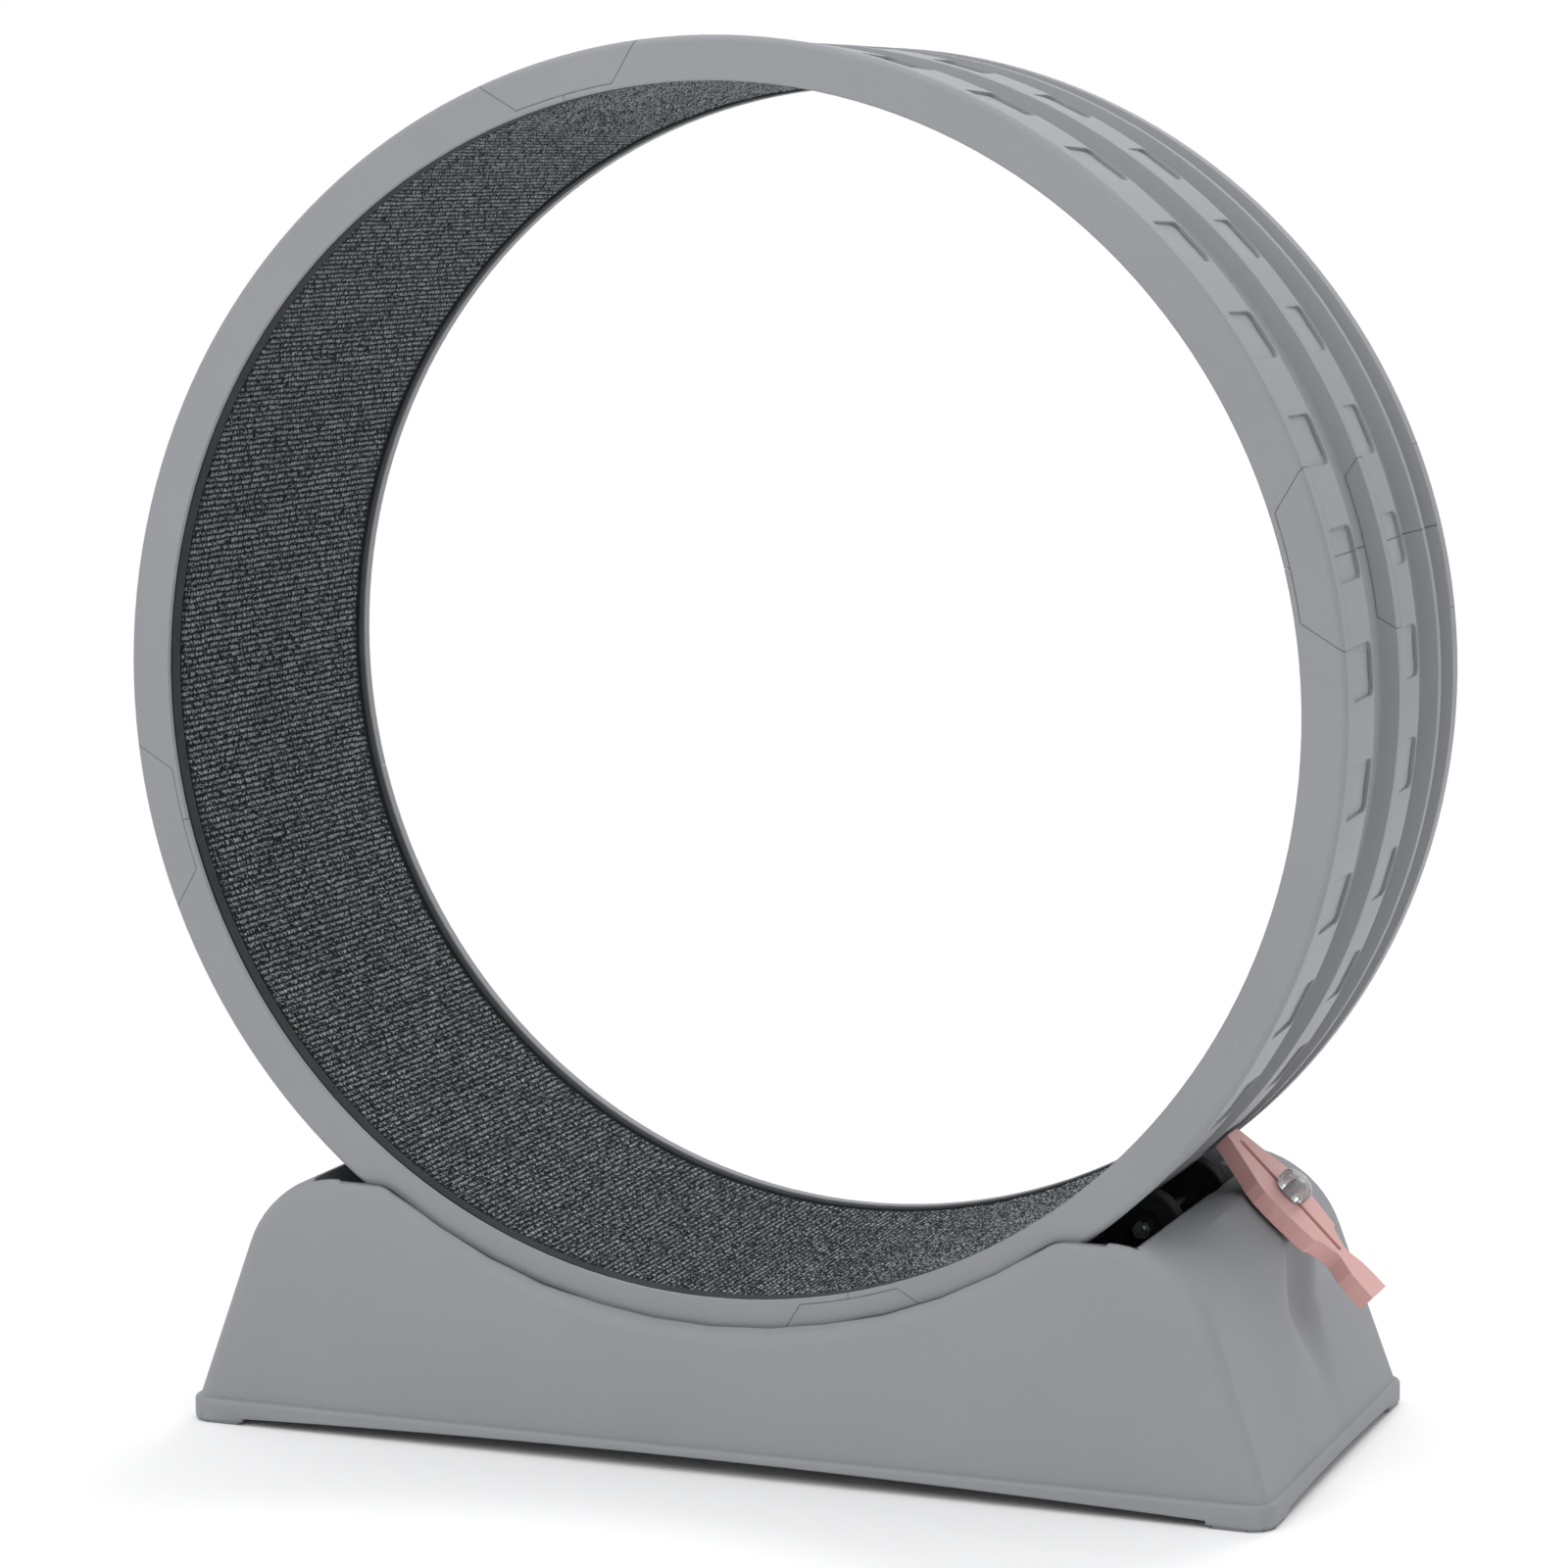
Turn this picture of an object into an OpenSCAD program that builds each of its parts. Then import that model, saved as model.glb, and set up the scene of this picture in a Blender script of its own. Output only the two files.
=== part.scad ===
// Pet exercise wheel: a ring of four hollow moulded segments, lined with a looped carpet,
// turning on four rollers that sit in a moulded saddle base with a sliding brake lever.
// X runs along the base towards the brake, Y runs from front to back, Z points up.
// The origin is on the floor, at the middle of the base.

/* [Wheel] */
// Diameter of the wheel over its front rim
wheel_d = 1000; // [900:10:1100]
// Width of the wheel from its front face to its back face
wheel_w = 351; // [325:1:420]
// Height of the wheel's lowest point over the floor
wheel_lift = 100; // [80:1:130]
// How far the tread ribs and the back rim lie inside the front rim
rib_drop = 2.5; // [0:0.5:6]
// Depth of the carpet bed inside the front rim
bed_depth = 26; // [24:0.5:34]
// Height of the lips that hold the carpet, over the bed
lip_h = 8; // [6:0.5:12]
// Width of the front lip
front_lip_w = 3.5; // [3:0.5:8]
// Width of the back lip
back_lip_w = 9; // [5:0.5:14]
// Radius of the soft outer edges of both rims
rim_edge_r = 5; // [2:0.5:8]
// Wall thickness of the hollow segments
skin_t = 3; // [2:0.5:4]
// Number of segments round the wheel
segment_count = 4; // [3:1:6]
// Angle of the first joint over the X axis
first_joint = 13.8; // [0:0.1:60]
// Width of the seam between two segments
seam_w = 0.4; // [0.2:0.1:1]

/* [Tread] */
// Depth of the tread grooves under the rib tops
groove_depth = 13; // [6:0.5:15]
// Width of the front rib, as a share of the wheel's width
front_rib_share = 0.2607; // [0.24:0.0001:0.3]
// Width of the middle rib, as a share of the wheel's width
middle_rib_share = 0.1994; // [0.18:0.0001:0.24]
// Width of the groove behind the middle rib, as a share of the wheel's width
back_groove_share = 0.1481; // [0.13:0.0001:0.18]
// Width of the narrow rib, as a share of the wheel's width
narrow_rib_share = 0.0513; // [0.04:0.0001:0.07]
// Width of the groove in front of the back rim, as a share of the wheel's width
rim_groove_share = 0.0855; // [0.06:0.0001:0.11]
// Width of the back rim, as a share of the wheel's width
back_rim_share = 0.067; // [0.062:0.0001:0.085]
// Run of the steep front wall of a rib
rib_front_run = 4; // [2:0.5:6]
// Radius of the soft shoulder at the back of a rib
rib_shoulder_r = 6; // [3:0.5:8]

/* [Tread dimples] */
// Number of dimples round each of the two wide ribs
dimple_count = 36; // [24:12:48]
// Width of a dimple round the wheel
dimple_w = 40; // [20:1:50]
// Depth of a dimple at its back end
dimple_depth = 3; // [1:0.5:4]
// Corner radius of a dimple
dimple_r = 7; // [3:0.5:10]
// Length of a dimple on the front rib
front_dimple_l = 62; // [40:1:70]
// Length of a dimple on the middle rib
middle_dimple_l = 48; // [30:1:52]
// Plain strip of rib between a dimple and the end of the rib top
dimple_margin = 2; // [1:0.5:5]

/* [Joint keys] */
// Width of a dovetail key at its inner end
key_in_w = 81.7; // [50:0.1:90]
// Width of a dovetail key at the outer rim
key_out_w = 136; // [100:1:140]
// Thickness of the front and back keys
rim_key_t = 18.5; // [10:0.5:20]
// Thickness of the key in the middle rib
middle_key_t = 18; // [10:0.5:24]
// Height of the key's inner end over the lip's edge
key_rise = 4.5; // [3:0.5:6]
// Thickness of the foot of a rim key
key_foot_t = 2; // [1:0.5:2.5]
// Clearance round a key
key_gap = 0.3; // [0.1:0.1:0.6]

/* [Running mat] */
// Height that the mat's pile is lower than the lips
mat_drop = 0.4; // [0:0.1:2]
// Clearance between the mat and what holds it
mat_gap = 0.3; // [0.2:0.1:1]
// Width of the front edge binding
front_binding_w = 17; // [10:0.5:25]
// Width of the back edge binding
back_binding_w = 10; // [6:0.5:20]
// Width of the butt seam where the mat's ends meet
mat_seam = 1; // [0.5:0.1:3]
// Angle of the butt seam over the X axis
mat_seam_angle = 7; // [0:1:360]

/* [Rollers] */
// Diameter of a roller
roller_d = 62.4; // [50:0.2:70]
// Width of a roller
roller_w = 16; // [10:0.5:20]
// Angle of the rollers from straight below the wheel's axis
roller_angle = 36.9; // [34:0.1:39]
// Gap between the rollers and the groove floor
roller_gap = 0.3; // [0.1:0.1:0.5]
// Distance from the back groove's front edge to the middle of the back roller
back_roller_set = 16; // [14:0.5:26]
// Thickness of the roller's tyre
tyre_t = 7; // [4:0.5:10]
// Radius of the tyre's edges
tyre_edge_r = 2; // [1:0.5:3]
// Diameter of the dished hub face
hub_dish_d = 32; // [26:1:38]
// Depth of the dished hub face
hub_dish_t = 4; // [2:0.5:6]
// Diameter of the roller axle
axle_d = 8; // [6:0.5:10]
// Width of the axle nut over its flats
nut_w = 13; // [11:0.5:17]
// Height of the axle nut
nut_h = 6.5; // [5:0.5:8]
// Running clearance between the axle and what turns on it
axle_fit = 0.05; // [0.02:0.01:0.1]

/* [Roller brackets] */
// Thickness of a bracket's upright
upright_t = 8; // [5:0.5:12]
// Wall of the upright round the axle
upright_wall = 6; // [4:0.5:7]
// Width of the upright at its foot
upright_foot_w = 44; // [30:1:50]
// Thickness of the bracket's plate
bracket_plate_t = 4; // [3:0.5:6]
// End play of a roller beside its upright
end_play = 0.5; // [0.3:0.1:1]

/* [Base] */
// Height of the humps over the floor
hump_h = 207; // [190:1:215]
// Length of the level top of each hump
hump_flat = 32.6; // [20:0.2:60]
// Radius of the humps' outer shoulders
shoulder_r = 88; // [50:1:100]
// Radius of the crest where a hump runs into the saddle
crest_r = 28; // [20:1:60]
// Lean of the end walls from upright
end_lean = 19.3; // [12:0.1:25]
// How much of the wheel's rim the front wall covers at its lowest point
rim_cover = 14; // [5:0.5:20]
// How much smaller the saddle's radius is than the wheel's
saddle_less = 36; // [20:1:60]
// Gap between the wheel's faces and the side walls
side_gap = 4.5; // [3:0.5:10]
// Gap under the wheel in its trough
trough_gap = 10; // [6:0.5:20]
// Thickness of the side walls at their foot
side_foot_t = 16; // [12:0.5:24]
// Thickness of the side walls at their top
side_top_t = 5; // [5:0.5:10]
// Radius of the base's soft outer edges
base_edge_r = 14; // [8:0.5:18]
// Wall thickness of the base
base_wall = 4; // [3:0.5:6]
// Height of the foot flange's top over the floor
flange_h = 20; // [16:0.5:26]
// Overhang of the foot flange round the walls
flange_out = 5; // [2:0.5:8]
// Corner radius of the foot flange
flange_corner_r = 20; // [18:1:40]
// Radius of the flange's top edge
flange_edge_r = 3.5; // [1:0.5:5]
// Height of the four feet
foot_h = 6; // [4:0.5:8]
// Length of a foot along each edge
foot_l = 50; // [35:1:70]
// Inset of the feet from the flange's edge
foot_in = 2; // [1:0.5:4]
// Rise of the long edges between the feet
long_arch = 7; // [2:0.5:9]
// Rise of the short edges between the feet
short_arch = 3; // [1:0.5:6]

/* [Roller bays] */
// Clearance between a roller and the walls of its bay
bay_gap = 3; // [2:0.5:6]
// Depth of the bay's floor under the rollers
bay_under = 30; // [20:1:40]
// Distance that the bay ends behind the back roller
bay_back = 30; // [20:1:60]
// Thickness of the wall between the bay and the front face, at its top
bay_wall = 7; // [5:0.5:12]
// Corner radius of the bay
bay_corner_r = 5; // [3:0.5:8]

/* [Brake] */
// Slope of the brake lever under level
brake_angle = 45; // [43:0.5:47]
// Distance of the brake lever behind the middle of the wheel
brake_y = 24.5; // [15:0.5:28]
// Length of the brake lever
lever_l = 168; // [150:1:180]
// Greatest width of the brake lever
lever_w = 75; // [60:1:80]
// Thickness of the brake lever
lever_t = 14; // [10:0.5:16]
// Height of the lever's middle plane over the radial line, negative when below
lever_rise = -1; // [-3:0.5:1]
// Gap between the released lever and the rib
lever_gap = 2; // [1.5:0.5:6]
// Start of the slot behind the lever's tip
slot_start = 9; // [7:0.5:14]
// Length of the lever's slot
slot_l = 115; // [100:1:118]
// Diameter of the brake stud
stud_d = 6; // [5:0.5:8]
// Clearance between the stud and the sides of the slot
slot_gap = 0.4; // [0.3:0.1:1]
// Distance of the brake stud from the ribs
stud_out = 66; // [62:0.5:70]
// Depth of the brake stud in its pedestal
stud_in = 26; // [15:1:40]
// Diameter of the brake knob over its lobes
knob_d = 29; // [24:0.5:34]
// Height of the brake knob
knob_h = 15; // [12:0.5:20]
// Number of lobes on the knob
knob_lobes = 8; // [6:1:10]
// Diameter of the brake washer
washer_d = 18; // [14:0.5:22]
// Thickness of the brake washer
washer_t = 1.2; // [0.8:0.1:2]
// Clearance between the faces of the brake's pieces
brake_play = 0.3; // [0.3:0.1:0.6]
// Length of the pedestal that carries the lever
pedestal_l = 56; // [40:1:64]
// Width of the pedestal that carries the lever
pedestal_w = 32; // [24:1:40]

/* [Brake channel] */
// Slope of the channel's floor under level
channel_slope = 58.5; // [56:0.5:61]
// Depth of the channel's floor under the lever's line, at the stud
channel_drop = 44; // [40:1:50]
// Radius of the channel
channel_r = 45; // [40:1:52]
// Softness of the channel's shoulders
channel_soft = 8.5; // [5:0.5:12]

/* [Hidden] */
$fn = 96;

// Colours of the pieces
grey = [0.60, 0.61, 0.63];
charcoal = [0.20, 0.22, 0.23];
binding_black = [0.10, 0.11, 0.12];
roller_black = [0.09, 0.09, 0.10];
tyre_grey = [0.45, 0.46, 0.48];
steel = [0.72, 0.73, 0.75];
brake_pink = [0.82, 0.62, 0.61];
knob_clear = [0.75, 0.76, 0.77];

// Overrun of every cut past the face that it opens
over = wheel_w / 100;
// Steps in the rounded outlines, in the end walls and in the arches
arc_steps = 6;
wall_steps = 8;
arch_steps = 12;

// Radii of the wheel, from outside in
rim_r = wheel_d / 2;
rib_r = rim_r - rib_drop;
floor_r = rib_r - groove_depth;
bed_r = rim_r - bed_depth;
lip_r = bed_r - lip_h;
key_in_r = lip_r + key_rise;
axle_z = rim_r + wheel_lift;

// Widths of the ribs and grooves, and their places across the wheel from its front face back
front_rib_w = wheel_w * front_rib_share;
middle_rib_w = wheel_w * middle_rib_share;
back_groove_w = wheel_w * back_groove_share;
narrow_rib_w = wheel_w * narrow_rib_share;
rim_groove_w = wheel_w * rim_groove_share;
back_rim_w = wheel_w * back_rim_share;
groove_w = wheel_w - front_rib_w - middle_rib_w - back_groove_w - narrow_rib_w - rim_groove_w - back_rim_w;
middle_rib_at = front_rib_w + groove_w;
back_groove_at = middle_rib_at + middle_rib_w;
narrow_rib_at = back_groove_at + back_groove_w;
rim_groove_at = narrow_rib_at + narrow_rib_w;
back_rim_at = rim_groove_at + rim_groove_w;

// Angle between joints, and the half angle that a key and its block of solid wall take
joint_step = 360 / segment_count;
key_half = asin(key_out_w / 2 / rim_r);
block_half = key_half + (skin_t + over) / rim_r * 180 / PI;

// Rollers: their distance from the wheel's axis, their place, and their width places
roller_r = roller_d / 2;
roller_reach = floor_r + roller_gap + roller_r;
roller_x = roller_reach * sin(roller_angle);
roller_z = axle_z - roller_reach * cos(roller_angle);
front_roller_y = front_rib_w + groove_w / 2 - wheel_w / 2;
back_roller_y = back_groove_at + back_roller_set - wheel_w / 2;
hub_r = roller_r - tyre_t;
axle_r = axle_d / 2;
nut_half = nut_w / 2 / cos(30);

// Trough and side walls of the base
trough_r = rim_r + trough_gap;
trough_half = wheel_w / 2 + side_gap;
side_foot_y = trough_half + side_foot_t;
side_top_y = trough_half + side_top_t;

// Saddle, crest and shoulder circles of the base's side outline
saddle_r = rim_r - saddle_less;
saddle_z = wheel_lift + rim_cover + saddle_r;
crest_z = hump_h - crest_r;
crest_x = sqrt(pow(saddle_r + crest_r, 2) - pow(saddle_z - crest_z, 2));
shoulder_x = crest_x + hump_flat;
shoulder_z = hump_h - shoulder_r;
crest_turn = atan2(saddle_z - crest_z, crest_x);
// Foot of the end wall where the flange begins
foot_x = shoulder_x + shoulder_r / cos(end_lean) + (shoulder_z - flange_h) * tan(end_lean);
base_half_l = foot_x + flange_out;
base_half_w = side_foot_y + flange_out;

// Roller bay
bay_half = roller_r + bay_gap;
bay_floor = roller_z - roller_r - bay_under;
bay_front_y = -(side_top_y - bay_wall);
bay_back_y = back_roller_y + bay_back;

// Brake: the stud's distance from the wheel's axis, and the lever's faces over the radial line
stud_s = rib_r + stud_out;
lever_s = rib_r + lever_gap;
lever_low = lever_rise - lever_t / 2;
lever_high = lever_rise + lever_t / 2;
slot_r = stud_d / 2 + slot_gap;
washer_low = lever_high + brake_play;
knob_low = washer_low + washer_t + brake_play;
// Radius and height of the knob's lobes and the height of its bore, as shares of its size
knob_lobe_share = 0.24;
lobe_h_share = 0.86;
bore_h_share = 0.7;
bore_h = knob_h * bore_h_share;
// Half width of the lever at places along it, both as shares of its size
lever_outline_share = [
    [0, 0.35], [0.196, 0.77], [0.26, 0.93], [0.315, 1], [0.40, 0.99], [0.488, 0.93],
    [0.56, 0.86], [0.631, 0.77], [0.643, 0.60], [0.66, 0.53], [0.70, 0.40], [0.738, 0.30],
    [0.765, 0.30], [0.80, 0.37], [0.845, 0.48], [0.90, 0.52], [1, 0.54]
];
// Channel: how steeply its sides leave its round floor, the places of the rings across it as
// shares of its radius from its middle, and the point on its floor under the stud
channel_flare = 2;
channel_share = [-1.5, -1.2, -1, -0.8, -0.6, -0.4, -0.2, 0, 0.2, 0.4, 0.6, 0.8, 1, 1.2, 1.5];
channel_x = stud_s * cos(brake_angle) - channel_drop * sin(brake_angle);
channel_z = axle_z - stud_s * sin(brake_angle) - channel_drop * cos(brake_angle);

// Points of an arc
function arc(x, y, r, from, to, steps = arc_steps) =
    [for (i = [0:steps]) let (a = from + (to - from) * i / steps) [x + r * cos(a), y + r * sin(a)]];

// Tread outline from the front rim to the back rim, drawn a wall thickness inside the real one
function rib_top(start, width, top, low, in) = concat(
    [[low - in, start + in], [top - in, start + rib_front_run + in]],
    arc(top - rib_shoulder_r, start + width - rib_shoulder_r - in, rib_shoulder_r - in, 0, 90),
    [[low - in, start + width - in]]
);
function tread(in) = concat(
    arc(rim_r - rim_edge_r, rim_edge_r, rim_edge_r - in, -90, 0),
    arc(rib_r - rib_shoulder_r, front_rib_w - rib_shoulder_r - in, rib_shoulder_r - in, 0, 90),
    [[floor_r - in, front_rib_w - in]],
    rib_top(middle_rib_at, middle_rib_w, rib_r, floor_r, in),
    rib_top(narrow_rib_at, narrow_rib_w, rib_r, floor_r, in),
    [[floor_r - in, back_rim_at + in], [rib_r - in, back_rim_at + rib_front_run + in]],
    arc(rib_r - rim_edge_r, wheel_w - rim_edge_r, rim_edge_r - in, 0, 90)
);

// Half of the base's outline seen from the front, drawn inside the real one by a distance
function end_wall(in, low, top) =
    [for (i = [0:wall_steps - 1]) let (z = low + (top - low) * i / wall_steps)
        [foot_x - in / cos(end_lean) - max(z - flange_h, 0) * tan(end_lean), z]];
function side_outline(in, low) = concat(
    [[0, low]],
    end_wall(in, low, shoulder_z + (shoulder_r - in) * sin(end_lean)),
    arc(shoulder_x, shoulder_z, shoulder_r - in, end_lean, 90, 2 * arc_steps),
    arc(crest_x, crest_z, crest_r - in, 90, 180 - crest_turn),
    [for (i = [1:arc_steps]) let (a = -crest_turn - (90 - crest_turn) * i / arc_steps)
        [i < arc_steps ? (saddle_r + in) * cos(a) : 0, saddle_z + (saddle_r + in) * sin(a)]]
);

// Turns plan drawings to face the front: X stays, Y becomes Z, and height becomes depth
module facing(y) {
    translate([0, y, 0]) rotate([90, 0, 0]) mirror([0, 0, 1]) children();
}

// The wheel's own frame: its axis is Z and its front face is at zero
module on_wheel() {
    translate([0, 0, axle_z]) facing(-wheel_w / 2) children();
}

// A round bar along Y, through a point of the base's frame
module bar(x, z, r, y_from, y_to) {
    facing(y_from) translate([x, z, 0]) cylinder(r = r, h = y_to - y_from);
}

// A dovetail across a joint, between two depths, cleared all round
module dovetail(joint, depth_from, depth_to, gap) {
    in_x = sqrt(pow(key_in_r, 2) - pow(key_in_w / 2, 2));
    out_x = sqrt(pow(rim_r, 2) - pow(key_out_w / 2, 2));
    flare = (key_out_w - key_in_w) / 2 / (out_x - in_x);
    side = key_in_w / 2 + gap * sqrt(1 + flare * flare);
    low_x = in_x - over;
    high_x = rim_r + over;
    rotate([0, 0, joint]) translate([0, 0, depth_from]) linear_extrude(depth_to - depth_from)
        polygon([
            [low_x, side + flare * (low_x - in_x)], [high_x, side + flare * (high_x - in_x)],
            [high_x, -side - flare * (high_x - in_x)], [low_x, -side - flare * (low_x - in_x)]
        ]);
}

// The space of each kind of key, with its stepped inner end
module front_key_space(joint, gap) {
    difference() {
        dovetail(joint, gap > 0 ? -over : 0, rim_key_t + gap, gap);
        translate([0, 0, -over]) cylinder(r = key_in_r - gap, h = rim_key_t + 2 * over);
        translate([0, 0, key_foot_t + gap]) cylinder(r = bed_r + skin_t - gap, h = rim_key_t + over);
    }
}
module back_key_space(joint, gap) {
    difference() {
        dovetail(joint, wheel_w - rim_key_t - gap, gap > 0 ? wheel_w + over : wheel_w, gap);
        translate([0, 0, wheel_w / 2]) cylinder(r = key_in_r - gap, h = wheel_w);
        translate([0, 0, wheel_w / 2]) cylinder(r = bed_r + skin_t - gap, h = wheel_w / 2 - key_foot_t - gap);
    }
}
module middle_key_space(joint, gap) {
    difference() {
        dovetail(joint, middle_rib_at - gap, middle_rib_at + middle_key_t + gap, gap);
        translate([0, 0, wheel_w / 4]) cylinder(r = floor_r - gap, h = wheel_w / 2);
    }
}

// The wheel's whole section, turned through an angle
module ring_part(from, turn) {
    rotate([0, 0, from]) rotate_extrude(angle = turn)
        polygon(concat(
            [[lip_r, 0]],
            tread(0),
            [[lip_r, wheel_w], [lip_r, wheel_w - back_lip_w], [bed_r, wheel_w - back_lip_w],
             [bed_r, front_lip_w], [lip_r, front_lip_w]]
        ));
}

// The hollow inside a segment
module ring_hollow(from, turn) {
    rotate([0, 0, from]) rotate_extrude(angle = turn)
        polygon(concat([[bed_r + skin_t, skin_t]], tread(skin_t), [[bed_r + skin_t, wheel_w - skin_t]]));
}

// One dimple: its floor falls from the rib's surface at the front to a rounded wall at the back
module dimple(angle, back, long) {
    tilt = atan(dimple_depth / long);
    rotate([0, 0, angle]) translate([rib_r - dimple_depth, 0, back]) rotate([0, 90 - tilt, 0])
        linear_extrude(dimple_depth + over) {
            translate([dimple_r, -dimple_w / 2]) square([long - dimple_r, dimple_w]);
            translate([0, dimple_r - dimple_w / 2]) square([long, dimple_w - 2 * dimple_r]);
            translate([dimple_r, dimple_w / 2 - dimple_r]) circle(r = dimple_r);
            translate([dimple_r, dimple_r - dimple_w / 2]) circle(r = dimple_r);
        }
}
module dimples(angle) {
    dimple(angle, front_rib_w - rib_shoulder_r - dimple_margin, front_dimple_l);
    dimple(angle, back_groove_at - rib_shoulder_r - dimple_margin, middle_dimple_l);
}

module wheel_segment(index) {
    from = first_joint + (index - 1) * joint_step;
    seam = seam_w / rim_r * 90 / PI;
    dimple_step = 360 / dimple_count;
    color(grey) on_wheel() difference() {
        ring_part(from + seam, joint_step - 2 * seam);
        ring_hollow(from + block_half, joint_step - 2 * block_half);
        for (angle = [from:dimple_step:from + joint_step + dimple_step / 2]) dimples(angle);
        for (joint = [from, from + joint_step]) {
            front_key_space(joint, key_gap);
            middle_key_space(joint, key_gap);
            back_key_space(joint, key_gap);
        }
    }
}

module front_joint_key(index) {
    joint = first_joint + (index - 1) * joint_step;
    color(grey) on_wheel() intersection() {
        ring_part(joint - block_half, 2 * block_half);
        front_key_space(joint, 0);
    }
}
module middle_joint_key(index) {
    joint = first_joint + (index - 1) * joint_step;
    color(grey) on_wheel() difference() {
        intersection() {
            ring_part(joint - block_half, 2 * block_half);
            middle_key_space(joint, 0);
        }
        for (side = [-1, 0, 1]) dimples(joint + side * 360 / dimple_count);
    }
}
module back_joint_key(index) {
    joint = first_joint + (index - 1) * joint_step;
    color(grey) on_wheel() intersection() {
        ring_part(joint - block_half, 2 * block_half);
        back_key_space(joint, 0);
    }
}

// A band of the mat between two depths
module mat_band(depth_from, depth_to, thick) {
    gap = mat_seam / bed_r * 180 / PI;
    on_wheel() rotate([0, 0, mat_seam_angle + gap / 2]) rotate_extrude(angle = 360 - gap)
        translate([bed_r - mat_gap - thick, depth_from]) square([thick, depth_to - depth_from]);
}
module running_mat() {
    color(charcoal) mat_band(
        front_lip_w + front_binding_w + mat_gap, wheel_w - back_lip_w - back_binding_w - mat_gap,
        lip_h - mat_drop - mat_gap);
}
module front_edge_binding() {
    color(binding_black) mat_band(front_lip_w + mat_gap, front_lip_w + front_binding_w, lip_h - mat_gap);
}
module back_edge_binding() {
    color(binding_black) mat_band(
        wheel_w - back_lip_w - back_binding_w, wheel_w - back_lip_w - mat_gap, lip_h - mat_gap);
}

// One roller: side is -1 on the left and 1 on the right, and out is -1 at the front and 1 at the back
module roller_tyre(side, y) {
    half = roller_w / 2;
    color(tyre_grey) facing(y) translate([side * roller_x, roller_z, 0]) rotate_extrude()
        polygon(concat(
            [[hub_r + axle_fit, -half]],
            arc(roller_r - tyre_edge_r, tyre_edge_r - half, tyre_edge_r, -90, 0),
            arc(roller_r - tyre_edge_r, half - tyre_edge_r, tyre_edge_r, 0, 90),
            [[hub_r + axle_fit, half]]
        ));
}
module roller_hub(side, y, out) {
    half = roller_w / 2;
    color(roller_black) difference() {
        bar(side * roller_x, roller_z, hub_r, y - half, y + half);
        bar(side * roller_x, roller_z, axle_r + axle_fit, y - half - over, y + half + over);
        facing(out < 0 ? y - half - over : y + half - hub_dish_t) translate([side * roller_x, roller_z, 0])
            cylinder(d = hub_dish_d, h = hub_dish_t + over);
    }
}
module axle_nut(side, y, out) {
    seat = y + out * (roller_w / 2 - hub_dish_t + end_play);
    start = out < 0 ? seat - nut_h : seat;
    color(steel) difference() {
        facing(start) translate([side * roller_x, roller_z, 0]) cylinder(r = nut_half, h = nut_h, $fn = 6);
        bar(side * roller_x, roller_z, axle_r + axle_fit, start - over, start + nut_h + over);
    }
}
module roller_axle(side) {
    reach = roller_w / 2 - hub_dish_t + end_play + nut_h + axle_r / 2;
    color(steel) bar(side * roller_x, roller_z, axle_r, front_roller_y - reach, back_roller_y + reach);
}

// The bracket's outline: an upright that tapers up to the round eye about the axle
module upright(side, y_from) {
    eye_r = axle_r + upright_wall;
    facing(y_from) linear_extrude(upright_t) {
        translate([side * roller_x, roller_z]) circle(r = eye_r);
        polygon([
            [side * roller_x - upright_foot_w / 2, bay_floor + bracket_plate_t / 2],
            [side * roller_x + upright_foot_w / 2, bay_floor + bracket_plate_t / 2],
            [side * roller_x + eye_r, roller_z], [side * roller_x - eye_r, roller_z]
        ]);
    }
}
module roller_bracket(side) {
    front = front_roller_y + roller_w / 2 + end_play;
    back = back_roller_y - roller_w / 2 - end_play;
    color(roller_black) difference() {
        union() {
            upright(side, front);
            upright(side, back - upright_t);
            translate([side * roller_x - bay_half + bay_gap, bay_front_y + bay_gap, bay_floor])
                cube([2 * roller_r, bay_back_y - bay_front_y - 2 * bay_gap, bracket_plate_t]);
        }
        bar(side * roller_x, roller_z, axle_r + axle_fit, front - over, back + over);
    }
}

// One half of the base's body, lofted over half its outline through rings from front to back. Each
// ring lies inside the outline by the soft edge and by the wall asked for, leans in with height,
// and sinks into the brake channel where there is one.
function lean_y(z) = side_foot_y + (side_top_y - side_foot_y) * (z - flange_h) / (hump_h - flange_h);
function soft_min(a, b) = let (h = max(channel_soft - abs(a - b), 0)) min(a, b) - h * h / channel_soft / 4;
function channel_rise(y) =
    let (off = abs(y - brake_y), round = min(off / channel_r, 1))
    channel_r * (1 - sqrt(1 - round * round)) + max(off - channel_r, 0) * channel_flare;
function in_channel(x, y, z, in) =
    let (
        up_x = sin(channel_slope),
        up_z = cos(channel_slope),
        height = (x - channel_x) * up_x + (z - channel_z) * up_z,
        drop = height - soft_min(height, channel_rise(y) - in)
    )
    [x - drop * up_x, y, z - drop * up_z];
function half_ring(in, y, low, channelled) =
    [for (p = side_outline(in, low))
        let (side_y = y + max(min(2 * y / side_foot_y, 1), -1) * (lean_y(p.y) - side_foot_y))
        channelled ? in_channel(p.x, side_y, p.y, in) : [p.x, side_y, p.y]];
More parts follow.
